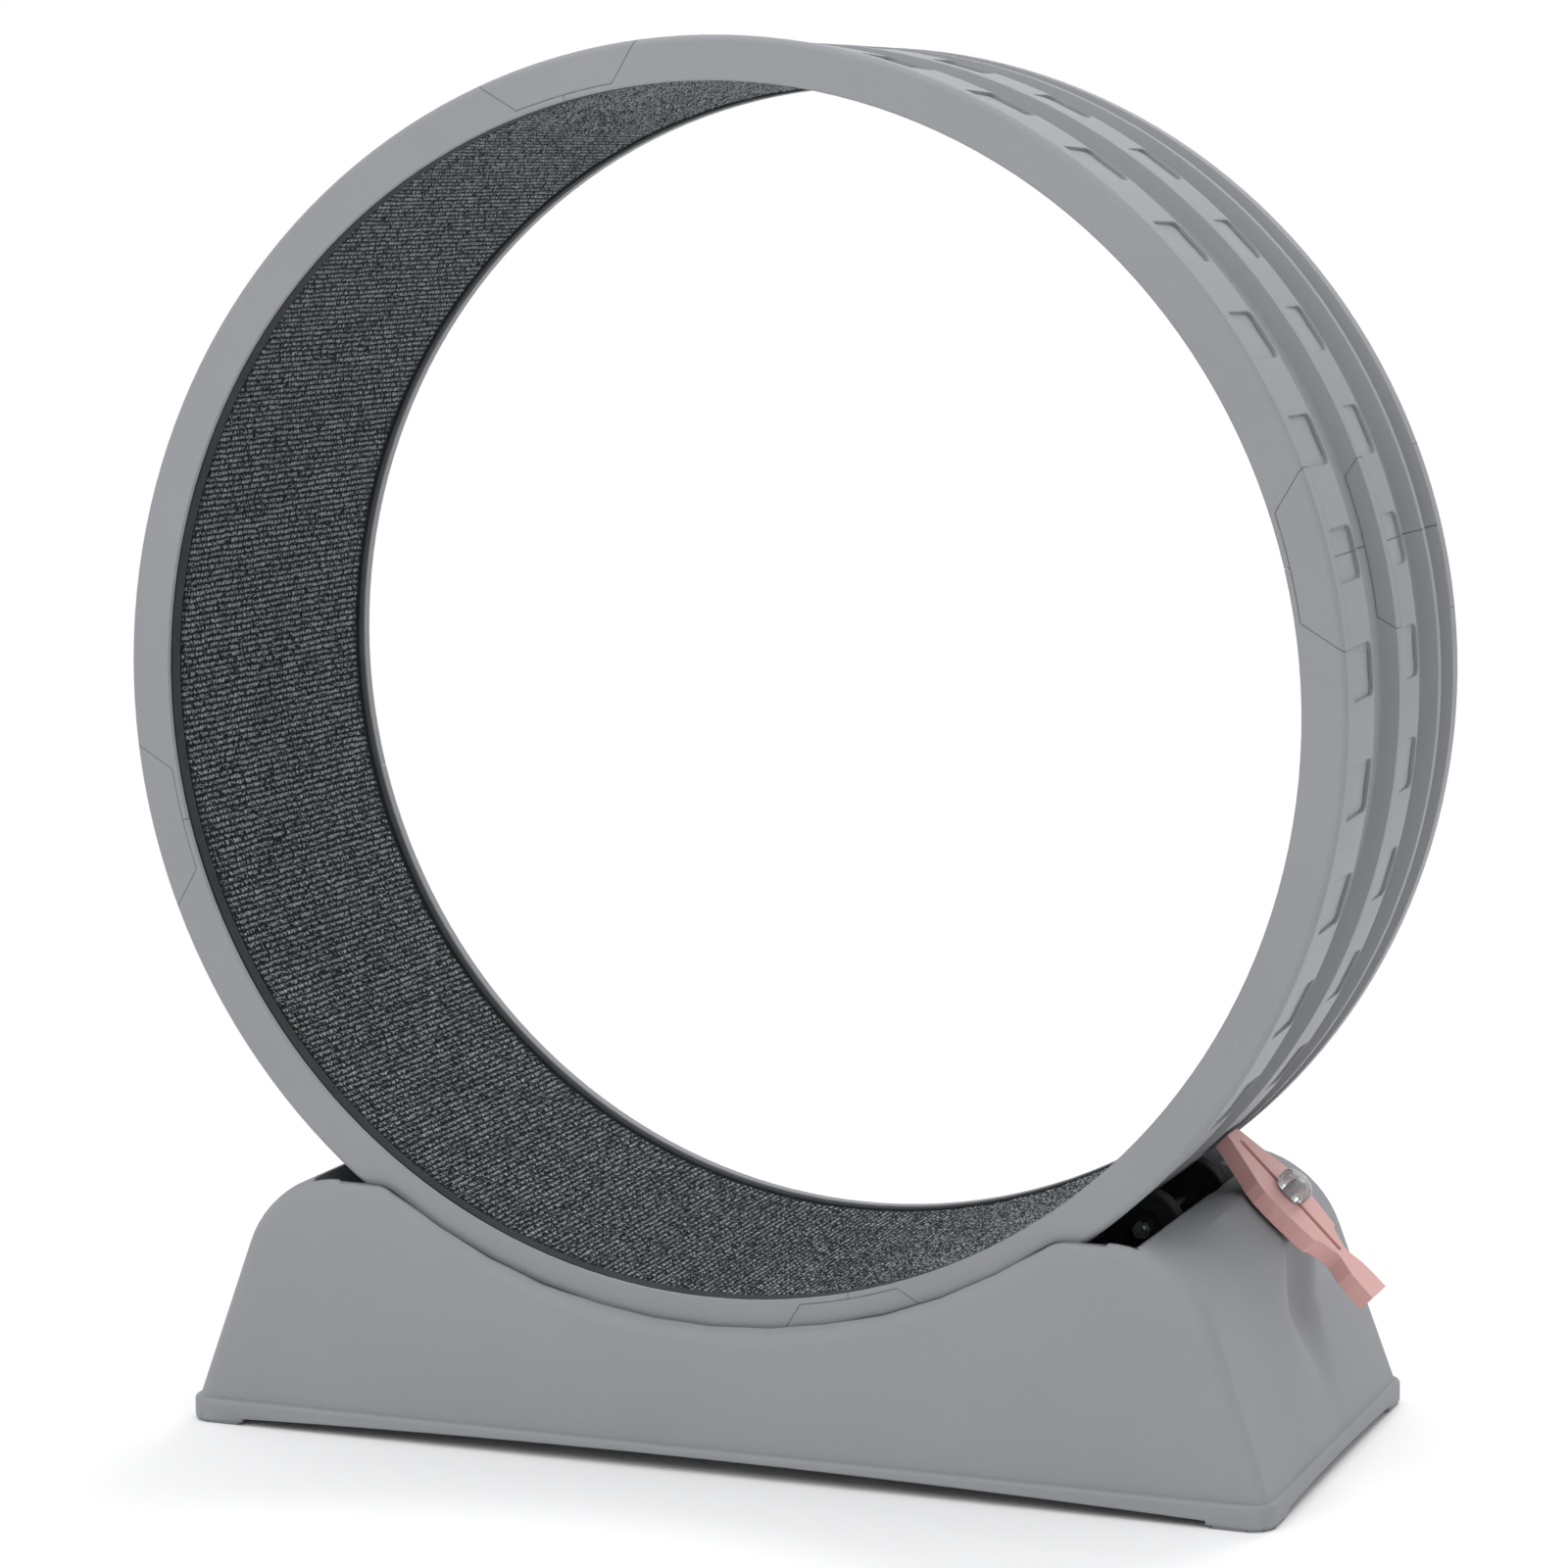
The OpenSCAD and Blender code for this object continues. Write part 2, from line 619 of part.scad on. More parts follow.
module half_body(wall, low, channelled) {
    edge_r = base_edge_r - wall;
    half_w = side_foot_y - wall;
    turns = [for (i = [0:arc_steps - 1]) 90 * i / (arc_steps - 1)];
    last_y = half_w - edge_r;
    middle = [for (share = channel_share) let (y = brake_y + share * channel_r) if (channelled) y];
    rings = concat(
        [for (a = turns)
            half_ring(wall + edge_r * (1 - sin(a)), edge_r * (1 - cos(a)) - half_w, low, channelled)],
        [for (y = middle) half_ring(wall, y, low, channelled)],
        [for (i = [arc_steps - 1:-1:0]) let (a = turns[i])
            half_ring(wall + edge_r * (1 - sin(a)), half_w - edge_r * (1 - cos(a)), low, channelled)]
    );
    count = len(rings[0]);
    last = len(rings) - 1;
    polyhedron(
        points = [for (ring = rings) each ring],
        faces = concat(
            [for (j = [0:last - 1], i = [0:count - 1])
                let (a = j * count + i, b = j * count + (i + 1) % count)
                each [[a, b, b + count], [a, b + count, a + count]]],
            [[for (i = [count - 1:-1:0]) i], [for (i = [0:count - 1]) last * count + i]]
        ));
}
module body(wall, low) {
    half_body(wall, low, true);
    mirror([1, 0, 0]) half_body(wall, low, false);
}

// The foot flange: a plate over rounded corners, with a rounded top edge
module foot_flange() {
    long = base_half_l - flange_corner_r;
    wide = base_half_w - flange_corner_r;
    low = foot_h / 2;
    hull() for (x = [-long, long], y = [-wide, wide]) translate([x, y, low]) rotate_extrude($fn = 48)
        polygon(concat(
            [[0, 0], [flange_corner_r, 0]],
            arc(flange_corner_r - flange_edge_r, flange_h - low - flange_edge_r, flange_edge_r, 0, 90, 4),
            [[0, flange_h - low]]
        ));
}

// The four feet, inset a little and rounded in plan like the flange's corners
module feet() {
    end = foot_l - 3 * foot_in;
    for (x = [-1, 1], y = [-1, 1]) hull() {
        translate([x * (base_half_l - flange_corner_r), y * (base_half_w - flange_corner_r), 0])
            cylinder(r = flange_corner_r - foot_in, h = foot_h, $fn = 48);
        translate([x * (base_half_l - end), y * (base_half_w - 2 * foot_in), 0])
            cylinder(r = foot_in, h = foot_h, $fn = 32);
        translate([x * (base_half_l - 2 * foot_in), y * (base_half_w - end), 0])
            cylinder(r = foot_in, h = foot_h, $fn = 32);
    }
}

// The low arch under an edge, between the feet
function arch(half, rise) = concat(
    [[-half, -over]],
    [for (i = [0:arch_steps]) let (share = 2 * i / arch_steps - 1)
        [share * half, foot_h + rise * (1 - share * share)]],
    [[half, -over]]
);
module arches() {
    facing(-base_half_w - over) linear_extrude(2 * (base_half_w + over))
        polygon(arch(base_half_l - foot_l, long_arch));
    translate([-base_half_l - over, 0, 0]) rotate([90, 0, 90]) linear_extrude(2 * (base_half_l + over))
        polygon(arch(base_half_w - foot_l, short_arch));
}

// Everything under the channel's floor, with a seat's clearance over it
module channel_below() {
    translate([channel_x, brake_y, channel_z]) rotate([0, channel_slope - 90, 0]) difference() {
        translate([-wheel_w, -pedestal_w, -wheel_w])
            cube([wheel_w + channel_r, 2 * pedestal_w, 2 * wheel_w]);
        translate([channel_r, 0, -wheel_w - over])
            cylinder(r = channel_r - brake_play, h = 2 * (wheel_w + over));
    }
}

// A roller bay with rounded corners, grown by a wall
module bay(side, wall) {
    reach = bay_half - bay_corner_r;
    hull() for (x = [-reach, reach], y = [bay_front_y + bay_corner_r, bay_back_y - bay_corner_r])
        translate([side * roller_x + x, y, bay_floor - wall])
            cylinder(r = bay_corner_r + wall, h = wheel_d, $fn = 32);
}

// The open hollow under the base
module base_hollow() {
    difference() {
        body(base_wall, -over);
        bar(0, axle_z, trough_r + base_wall, -side_foot_y - over, side_foot_y + over);
        bay(-1, base_wall);
        bay(1, base_wall);
    }
}

// Turns drawings to the brake's slope: X runs out along the lever, and Z stands off it
module on_brake() {
    translate([0, brake_y, axle_z]) rotate([0, brake_angle, 0]) children();
}
module brake_pedestal() {
    top = lever_low - brake_play;
    deep = channel_drop + pedestal_l / 4;
    color(grey) difference() {
        on_brake() translate([stud_s - pedestal_l / 2, -pedestal_w / 2, top - deep])
            cube([pedestal_l, pedestal_w, deep]);
        on_brake() translate([stud_s, 0, top - stud_in]) cylinder(d = stud_d, h = deep);
        channel_below();
    }
}

module base_shell() {
    color(grey) difference() {
        union() {
            body(0, flange_h);
            foot_flange();
            feet();
        }
        base_hollow();
        bar(0, axle_z, trough_r, -trough_half, trough_half);
        bay(-1, 0);
        bay(1, 0);
        arches();
    }
}

module brake_lever() {
    half = lever_w / 2;
    color(brake_pink) on_brake() translate([lever_s, 0, lever_low]) difference() {
        linear_extrude(lever_t) polygon(concat(
            [for (p = lever_outline_share) [p[0] * lever_l, p[1] * half]],
            [for (i = [len(lever_outline_share) - 1:-1:0]) let (p = lever_outline_share[i])
                [p[0] * lever_l, -p[1] * half]]
        ));
        translate([0, 0, -over]) linear_extrude(lever_t + 2 * over) {
            translate([slot_start + slot_r, -slot_r]) square([slot_l - 2 * slot_r, 2 * slot_r]);
            translate([slot_start + slot_r, 0]) circle(r = slot_r);
            translate([slot_start + slot_l - slot_r, 0]) circle(r = slot_r);
        }
    }
}

module brake_knob() {
    lobe_r = knob_d / 2 * knob_lobe_share;
    color(knob_clear) on_brake() translate([stud_s, 0, knob_low]) difference() {
        union() {
            cylinder(r = knob_d / 2 - lobe_r / 2, h = knob_h);
            for (i = [0:knob_lobes - 1]) rotate([0, 0, i * 360 / knob_lobes])
                translate([knob_d / 2 - lobe_r, 0, 0]) cylinder(r = lobe_r, h = knob_h * lobe_h_share, $fn = 32);
        }
        translate([0, 0, -over]) cylinder(r = stud_d / 2 + axle_fit, h = bore_h + over);
    }
}
module brake_washer() {
    color(steel) on_brake() translate([stud_s, 0, washer_low]) difference() {
        cylinder(d = washer_d, h = washer_t);
        translate([0, 0, -over]) cylinder(r = stud_d / 2 + axle_fit, h = washer_t + 2 * over);
    }
}
module brake_stud() {
    top = knob_low + bore_h - brake_play;
    low = lever_low - brake_play - stud_in;
    color(steel) on_brake() translate([stud_s, 0, low]) cylinder(d = stud_d, h = top - low);
}

module left_front_roller_tyre() roller_tyre(-1, front_roller_y);
module left_back_roller_tyre() roller_tyre(-1, back_roller_y);
module right_front_roller_tyre() roller_tyre(1, front_roller_y);
module right_back_roller_tyre() roller_tyre(1, back_roller_y);
module left_front_roller_hub() roller_hub(-1, front_roller_y, -1);
module left_back_roller_hub() roller_hub(-1, back_roller_y, 1);
module right_front_roller_hub() roller_hub(1, front_roller_y, -1);
module right_back_roller_hub() roller_hub(1, back_roller_y, 1);

wheel_segment(1);  // wheel_segment_1
wheel_segment(2);  // wheel_segment_2
wheel_segment(3);  // wheel_segment_3
wheel_segment(4);  // wheel_segment_4
front_joint_key(1);  // front_joint_key_1
front_joint_key(2);  // front_joint_key_2
front_joint_key(3);  // front_joint_key_3
front_joint_key(4);  // front_joint_key_4
middle_joint_key(1);  // middle_joint_key_1
middle_joint_key(2);  // middle_joint_key_2
middle_joint_key(3);  // middle_joint_key_3
middle_joint_key(4);  // middle_joint_key_4
back_joint_key(1);  // back_joint_key_1
back_joint_key(2);  // back_joint_key_2
back_joint_key(3);  // back_joint_key_3
back_joint_key(4);  // back_joint_key_4
running_mat();
front_edge_binding();
back_edge_binding();
left_front_roller_tyre();
left_front_roller_hub();
left_back_roller_tyre();
left_back_roller_hub();
right_front_roller_tyre();
right_front_roller_hub();
right_back_roller_tyre();
right_back_roller_hub();
roller_axle(-1);  // left_roller_axle
roller_axle(1);  // right_roller_axle
axle_nut(-1, front_roller_y, -1);  // left_front_axle_nut
axle_nut(-1, back_roller_y, 1);  // left_back_axle_nut
axle_nut(1, front_roller_y, -1);  // right_front_axle_nut
axle_nut(1, back_roller_y, 1);  // right_back_axle_nut
roller_bracket(-1);  // left_roller_bracket
roller_bracket(1);  // right_roller_bracket
base_shell();
brake_pedestal();
brake_lever();
brake_knob();
brake_washer();
brake_stud();
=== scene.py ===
"""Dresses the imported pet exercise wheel: finishes, looped carpet, edge bindings and a plain studio."""

import logging
import math
from dataclasses import dataclass, field
from enum import Enum
from typing import Iterable, Sequence

import bmesh
import bpy
import numpy as np
from mathutils import Matrix, Vector


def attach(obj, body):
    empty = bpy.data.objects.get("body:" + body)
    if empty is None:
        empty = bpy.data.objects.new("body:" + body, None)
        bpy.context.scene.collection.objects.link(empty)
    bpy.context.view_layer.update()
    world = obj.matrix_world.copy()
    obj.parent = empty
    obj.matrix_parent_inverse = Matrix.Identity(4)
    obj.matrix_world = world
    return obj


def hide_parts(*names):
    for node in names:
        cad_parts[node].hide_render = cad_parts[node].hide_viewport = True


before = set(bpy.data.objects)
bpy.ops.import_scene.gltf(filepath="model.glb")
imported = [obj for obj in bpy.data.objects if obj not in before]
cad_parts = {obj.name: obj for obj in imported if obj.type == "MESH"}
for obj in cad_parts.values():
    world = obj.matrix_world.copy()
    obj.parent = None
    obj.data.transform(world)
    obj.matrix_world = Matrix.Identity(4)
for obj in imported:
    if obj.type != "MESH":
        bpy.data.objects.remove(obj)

log = logging.getLogger("exercise_wheel")

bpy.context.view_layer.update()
AXLE_HEIGHT = 0.600
WHITE = (1.0, 1.0, 1.0, 1.0)

# The parts of a noise's range that patterns are spread over.
WIDE = (0.3, 0.7)
NARROW = (0.35, 0.65)

Colour = tuple[float, float, float]
Place = tuple[float, float, float]
Socket = bpy.types.NodeSocket


class Slot(Enum):
    """The record's material slots."""

    MOULDED = "moulded_grey"
    PILE = "mat_pile"
    BINDING = "mat_binding"
    TYRE = "roller_tyre"
    NYLON = "roller_plastic"
    STEEL = "fastener_steel"
    LEVER = "brake_pink"
    KNOB = "knob_clear"


class Side(Enum):
    """The two ends of the base."""

    LEFT = "left"
    RIGHT = "right"


class Row(Enum):
    """The two rows of rollers, front and back."""

    FRONT = "front"
    BACK = "back"


class NodeTree:
    """A short way of writing a node tree."""

    def __init__(self, tree: bpy.types.NodeTree) -> None:
        """Clears a tree to write in.

        Args:
            tree: The tree.
        """
        self.tree = tree
        self.tree.nodes.clear()

    def add(self, kind: str, inputs: dict | None = None, **settings: object) -> bpy.types.Node:
        """Adds a node.

        Args:
            kind: The node's full type name.
            inputs: Socket name or number to a value, or to an output socket to link.
            **settings: Properties of the node.

        Returns:
            The new node.
        """
        made = self.tree.nodes.new(kind)
        for key, value in settings.items():
            setattr(made, key, value)
        for key, value in (inputs or {}).items():
            if isinstance(value, Socket):
                self.tree.links.new(value, made.inputs[key])
            else:
                made.inputs[key].default_value = value
        return made

    def math(self, operation: str, a: object, b: object = 0.0, c: object = 0.0) -> Socket:
        """Adds a math node.

        Args:
            operation: The operation's name.
            a: The first value or socket.
            b: The second value or socket.
            c: The third value or socket.

        Returns:
            The result's socket.
        """
        return self.add("ShaderNodeMath", {0: a, 1: b, 2: c}, operation=operation).outputs[0]

    def spread(self, value: Socket, low: object, high: object,
               to_low: object = 0.0, to_high: object = 1.0) -> Socket:
        """Maps a range of values onto another and holds it there.

        Args:
            value: The value's socket.
            low: The range's lower end.
            high: The range's upper end.
            to_low: What the lower end becomes.
            to_high: What the upper end becomes.

        Returns:
            The result's socket.
        """
        ends = {0: value, 1: low, 2: high, 3: to_low, 4: to_high}
        return self.add("ShaderNodeMapRange", ends).outputs[0]


class Shader(NodeTree):
    """A material's node tree."""

    def __init__(self, name: str) -> None:
        """Starts an empty material.

        Args:
            name: The material's name.
        """
        self.material = bpy.data.materials.new(name)
        self.material.use_nodes = True
        super().__init__(self.material.node_tree)
        self.output = self.node("OutputMaterial")

    def node(self, kind: str, inputs: dict | None = None, **settings: object) -> bpy.types.Node:
        """Adds a shader node.

        Args:
            kind: The node's type name, without its ShaderNode prefix.
            inputs: Socket name or number to a value, or to an output socket to link.
            **settings: Properties of the node.

        Returns:
            The new node.
        """
        return self.add("ShaderNode" + kind, inputs, **settings)

    def mix(self, share: object, a: object, b: object) -> Socket:
        """Mixes two colours.

        Args:
            share: How much of the second colour shows.
            a: The first colour or socket.
            b: The second colour or socket.

        Returns:
            The colour's socket.
        """
        made = self.node("Mix", {0: share, 6: a, 7: b}, data_type="RGBA")
        return made.outputs[2]

    def place(self) -> Socket:
        """Gives the object's own coordinates."""
        return self.node("TexCoord").outputs["Object"]

    def attribute(self, name: str) -> Socket:
        """Gives a vector attribute of the piece."""
        return self.node("Attribute", attribute_name=name).outputs["Vector"]

    def noise(self, place: Socket, size: float, detail: float = 2.0, roughness: float = 0.5) -> Socket:
        """Adds a noise pattern.

        Args:
            place: The coordinates' socket.
            size: The pattern's size in metres.
            detail: Number of finer layers.
            roughness: Share of the finer layers.

        Returns:
            The noise's value.
        """
        sizes = {"Vector": place, "Scale": 1 / size, "Detail": detail, "Roughness": roughness}
        return self.node("TexNoise", sizes).outputs[0]

    def cells(self, place: Socket, jitter: float, feature: str) -> bpy.types.Node:
        """Adds a flat cell pattern.

        Args:
            place: The coordinates' socket, one cell to a unit.
            jitter: How far the cells stand from an even grid.
            feature: What the distance is measured to.

        Returns:
            The pattern's node.
        """
        sizes = {"Vector": place, "Scale": 1.0, "Randomness": jitter}
        return self.node("TexVoronoi", sizes, voronoi_dimensions="2D", feature=feature)

    def bump(self, height: Socket, depth: float, strength: float = 1.0,
             normal: Socket | None = None) -> Socket:
        """Turns a height pattern into a normal.

        Args:
            height: The pattern's socket.
            depth: How deep its full range is, in metres.
            strength: How much of it shows.
            normal: The normal that it is laid over.

        Returns:
            The normal's socket.
        """
        inputs = {"Height": height, "Distance": depth, "Strength": strength}
        if normal is not None:
            inputs["Normal"] = normal
        return self.node("Bump", inputs).outputs[0]

    def finish(self, **inputs: object) -> bpy.types.Material:
        """Ends the tree in one surface shader.

        Args:
            **inputs: The shader's sockets, with underscores for spaces.

        Returns:
            The material.
        """
        named = {key.replace("_", " "): value for key, value in inputs.items()}
        surface = self.node("BsdfPrincipled", named)
        self.tree.links.new(surface.outputs[0], self.output.inputs[0])
        return self.material


def solid(colour: Colour, gain: float = 1.0) -> tuple[float, float, float, float]:
    """Gives a colour with its alpha.

    Args:
        colour: Linear red, green and blue.
        gain: Factor on all three.

    Returns:
        Red, green, blue and an alpha of 1.
    """
    return (colour[0] * gain, colour[1] * gain, colour[2] * gain, 1.0)


@dataclass(frozen=True)
class MouldedPlastic:
    """Matt moulded plastic with a fine spark-eroded grain, and a painted highlight that lightens its edges.
    """

    name: str
    colour: Colour
    roughness: float = 0.55
    shine: float = 0.22
    grain: float = 0.0011
    grain_depth: float = 0.00006
    speck: float = 1.7
    cloud: float = 0.16
    patch: float = 0.018
    mottle: float = 0.035
    dots: float = 0.45
    dot_gain: float = 2.2
    edge: float = 0.0012
    edge_turn: tuple[float, float] = (0.75, 0.99)
    # edge_light and edge_gain set the share and the brightness of the painted edge highlight.
    edge_light: float = 0.12
    edge_gain: float = 1.5
    unevenness: tuple[float, float] = (-0.04, 0.06)

    def build(self) -> bpy.types.Material:
        """Builds the material.

        Returns:
            The material.
        """
        s = Shader(self.name)
        place = s.place()
        cloud = s.noise(place, self.cloud, 3.0, 0.55)
        speck = s.noise(place, self.grain * self.speck, 1.0, 0.6)
        fine = s.noise(place, self.grain, 2.0, 0.65)
        soft = s.node("Bevel", {"Radius": self.edge}, samples=4).outputs[0]
        flat = s.node("NewGeometry").outputs["True Normal"]
        turned = s.node("VectorMath", {0: soft, 1: flat}, operation="DOT_PRODUCT").outputs["Value"]
        # Painted highlight: a mask made from the soft edge normal that lightens the colour along edges,
        # broken into patches.
        painted_edge_highlight = s.spread(turned, *self.edge_turn, 1.0, 0.0)
        patch = s.noise(place, self.patch)
        painted_edge_highlight = s.math("MULTIPLY", painted_edge_highlight, s.spread(patch, *NARROW, 0.3, 1.0))
        dull, bright = solid(self.colour, 1 - self.mottle), solid(self.colour, 1 + self.mottle)
        dark = s.mix(s.spread(cloud, *WIDE), dull, bright)
        dot = solid(self.colour, 1 + self.dot_gain * self.mottle)
        dotted = s.mix(s.spread(speck, *NARROW), dark, dot)
        shade = s.math("MULTIPLY", s.spread(speck, *WIDE), self.dots)
        body = s.mix(shade, dark, dotted)
        # The painted edge highlight mixes the colour towards a brighter copy of itself.
        lit = s.mix(s.math("MULTIPLY", painted_edge_highlight, self.edge_light), body, solid(self.colour, self.edge_gain))
        less, more = (self.roughness + step for step in self.unevenness)
        rough = s.spread(cloud, *WIDE, less, more)
        normal = s.bump(fine, self.grain_depth, 0.8, soft)
        return s.finish(Base_Color=lit, Roughness=rough, Normal=normal, Specular_IOR_Level=self.shine)


@dataclass(frozen=True)
class LoopPile:
    """Looped carpet: rows across the mat, each a string of bead-like loops, with painted shade in the gaps
    between loops, in the row grooves and in random pits.

    The pairs gap, pit, row and loop are the pattern values across which the painted shade gives way to the
    yarn.
    """

    name: str
    # dark is the colour of the painted shade in the gaps, the row grooves and the pits.
    dark: Colour = (0.004, 0.0047, 0.0053)
    yarn: Colour = (0.150, 0.172, 0.185)
    light: Colour = (0.40, 0.44, 0.465)
    loop_pitch: float = 0.0046
    jitter: float = 0.66
    fuzz_size: float = 0.0017
    pit_size: float = 0.0034
    cloud_size: float = 0.045
    depth: float = 0.0011
    gap: tuple[float, float] = (0.03, 0.13)
    pit: tuple[float, float] = (0.38, 0.47)
    row: tuple[float, float] = (0.08, 0.5)
    loop: tuple[float, float] = (0.05, 0.3)
    loop_reach: float = 0.62
    roundness: float = 0.6
    fuzz_share: float = 0.4
    tone_share: float = 0.4

    def build(self) -> bpy.types.Material:
        """Builds the material from the piece's loops attribute: place across, row number and ridge.

        Returns:
            The material.
        """
        s = Shader(self.name)
        loops = s.attribute("loops")
        parts = s.node("SeparateXYZ", {0: loops}).outputs
        across = s.math("DIVIDE", parts[0], self.loop_pitch)
        grid = s.node("CombineXYZ", {0: across, 1: parts[1], 2: 0.0}).outputs[0]
        beads = s.cells(grid, self.jitter, "F1").outputs
        tone = s.node("SeparateColor", {0: beads["Color"]}).outputs[0]
        edge = s.cells(grid, self.jitter, "DISTANCE_TO_EDGE").outputs["Distance"]
        place = s.place()
        fuzz = s.noise(place, self.fuzz_size, 2.0, 0.7)
        cloud = s.noise(place, self.cloud_size, 3.0, 0.6)
        dome = s.spread(beads["Distance"], 0.0, self.loop_reach, 1.0, 0.0)
        open_gap = s.spread(edge, *self.gap)
        height = s.math("MULTIPLY", s.math("POWER", dome, self.roundness), open_gap)
        height = s.math("ADD", height, s.math("MULTIPLY", fuzz, self.fuzz_share))
        shade = s.math("MULTIPLY", tone, self.tone_share)
        shade = s.math("ADD", shade, s.spread(fuzz, 0.38, 0.62, 0.0, 0.8))
        shade = s.math("ADD", shade, s.spread(cloud, *WIDE, -0.2, 0.1))
        thread = s.mix(s.spread(shade, 0.2, 1.15), solid(self.yarn), solid(self.light))
        # Painted shade: the yarn is darkened in the low rows, in the gaps between loops, on each loop's
        # flanks and in random pits.
        seen = s.math("MULTIPLY", s.spread(parts[2], *self.row), open_gap)
        seen = s.math("MULTIPLY", seen, s.spread(dome, *self.loop))
        pits = s.noise(place, self.pit_size, 1.0, 0.6)
        seen = s.math("MULTIPLY", seen, s.spread(pits, *self.pit))
        # The painted shade mixes the yarn towards near-black.
        colour = s.mix(seen, solid(self.dark), thread)
        normal = s.bump(height, self.depth)
        return s.finish(Base_Color=colour, Roughness=0.95, Normal=normal, Specular_IOR_Level=0.15,
                        Sheen_Weight=0.03, Sheen_Roughness=0.5)


@dataclass(frozen=True)
class WovenTape:
    """Ribbed woven binding tape."""

    name: str
    colour: Colour = (0.0145, 0.0172, 0.019)
    rib: float = 0.0011
    thread: float = 0.0007
    fuzz: float = 0.0012
    cloud: float = 0.03
    depth: float = 0.0003
    weave_share: float = 0.35
    fuzz_share: float = 0.8
    low_gain: float = 0.62
    high_gain: float = 1.55

    def build(self) -> bpy.types.Material:
        """Builds the material from the piece's weave attribute: metres across and metres along.

        Returns:
            The material.
        """
        s = Shader(self.name)
        parts = s.node("SeparateXYZ", {0: s.attribute("weave")}).outputs
        along = s.math("SINE", s.math("MULTIPLY", parts[1], 2 * math.pi / self.rib))
        across = s.math("SINE", s.math("MULTIPLY", parts[0], 2 * math.pi / self.thread))
        weave = s.math("MULTIPLY", along, across)
        place = s.place()
        fuzz = s.noise(place, self.fuzz, 3.0, 0.7)
        cloud = s.noise(place, self.cloud, 3.0, 0.6)
        height = s.math("ADD", s.math("MULTIPLY", weave, self.weave_share),
                        s.math("MULTIPLY", fuzz, self.fuzz_share))
        shade = s.math("ADD", s.math("MULTIPLY", weave, 0.18), s.spread(cloud, *WIDE, 0.2, 0.8))
        colour = s.mix(shade, solid(self.colour, self.low_gain), solid(self.colour, self.high_gain))
        normal = s.bump(height, self.depth, 0.8)
        return s.finish(Base_Color=colour, Roughness=0.85, Normal=normal, Specular_IOR_Level=0.25,
                        Sheen_Weight=0.08, Sheen_Roughness=0.45)


@dataclass(frozen=True)
class TyreRubber:
    """Black roller tyre, polished in rings where it runs."""

    name: str
    colour: Colour = (0.009, 0.0095, 0.010)
    ring: float = 0.0009
    stretch: float = 0.08
    grain: float = 0.0007
    grain_depth: float = 0.00005
    worn_gain: float = 1.8
    roughness: tuple[float, float] = (0.62, 0.8)

    def build(self) -> bpy.types.Material:
        """Builds the material.

        Returns:
            The material.
        """
        s = Shader(self.name)
        place = s.place()
        parts = s.node("SeparateXYZ", {0: place}).outputs
        long_x, long_z = (s.math("MULTIPLY", parts[axis], self.stretch) for axis in (0, 2))
        rings = s.node("CombineXYZ", {0: long_x, 1: parts[1], 2: long_z}).outputs[0]
        worn = s.noise(rings, self.ring)
        fine = s.noise(place, self.grain, 3.0, 0.6)
        colour = s.mix(s.spread(worn, *NARROW), solid(self.colour), solid(self.colour, self.worn_gain))
        rough = s.spread(worn, *NARROW, *self.roughness)
        normal = s.bump(fine, self.grain_depth, 0.7)
        return s.finish(Base_Color=colour, Roughness=rough, Normal=normal, Specular_IOR_Level=0.2)


@dataclass(frozen=True)
class ZincSteel:
    """Bright zinc-plated steel with fine brushing."""

    name: str
    colour: Colour = (0.56, 0.57, 0.585)
    brush: float = 0.0005
    brush_depth: float = 0.00003
    stretch: float = 0.06
    cloud: float = 0.006
    gains: tuple[float, float] = (0.8, 1.08)
    roughness: tuple[float, float] = (0.2, 0.36)
    edge: float = 0.0004

    def build(self) -> bpy.types.Material:
        """Builds the material.

        Returns:
            The material.
        """
        s = Shader(self.name)
        place = s.place()
        drawn = s.node("Mapping", {"Vector": place, "Scale": (1.0, self.stretch, 1.0)}).outputs[0]
        brushed = s.noise(drawn, self.brush)
        cloud = s.noise(place, self.cloud, 3.0)
        dull, bright = (solid(self.colour, gain) for gain in self.gains)
        colour = s.mix(s.spread(cloud, *WIDE), dull, bright)
        rough = s.spread(brushed, *WIDE, *self.roughness)
        soft = s.node("Bevel", {"Radius": self.edge}, samples=4).outputs[0]
        normal = s.bump(brushed, self.brush_depth, 0.5, soft)
        return s.finish(Base_Color=colour, Metallic=1.0, Roughness=rough, Normal=normal)


@dataclass(frozen=True)
class ClearPlastic:
    """Clear moulded knob with faint flow lines."""

    name: str
    colour: Colour = (0.60, 0.615, 0.635)
    flow: float = 0.004
    flow_depth: float = 0.0001
    gains: tuple[float, float] = (0.9, 1.05)
    roughness: tuple[float, float] = (0.12, 0.22)
    edge: float = 0.0006
    clear: float = 0.72
    index: float = 1.49

    def build(self) -> bpy.types.Material:
        """Builds the material.

        Returns:
            The material.
        """
        s = Shader(self.name)
        place = s.place()
        flow = s.noise(place, self.flow, 3.0)
        dull, bright = (solid(self.colour, gain) for gain in self.gains)
        colour = s.mix(s.spread(flow, *WIDE), dull, bright)
        rough = s.spread(flow, *WIDE, *self.roughness)
        soft = s.node("Bevel", {"Radius": self.edge}, samples=4).outputs[0]
        normal = s.bump(flow, self.flow_depth, 0.4, soft)
        return s.finish(Base_Color=colour, Roughness=rough, Normal=normal,
                        Transmission_Weight=self.clear, IOR=self.index)


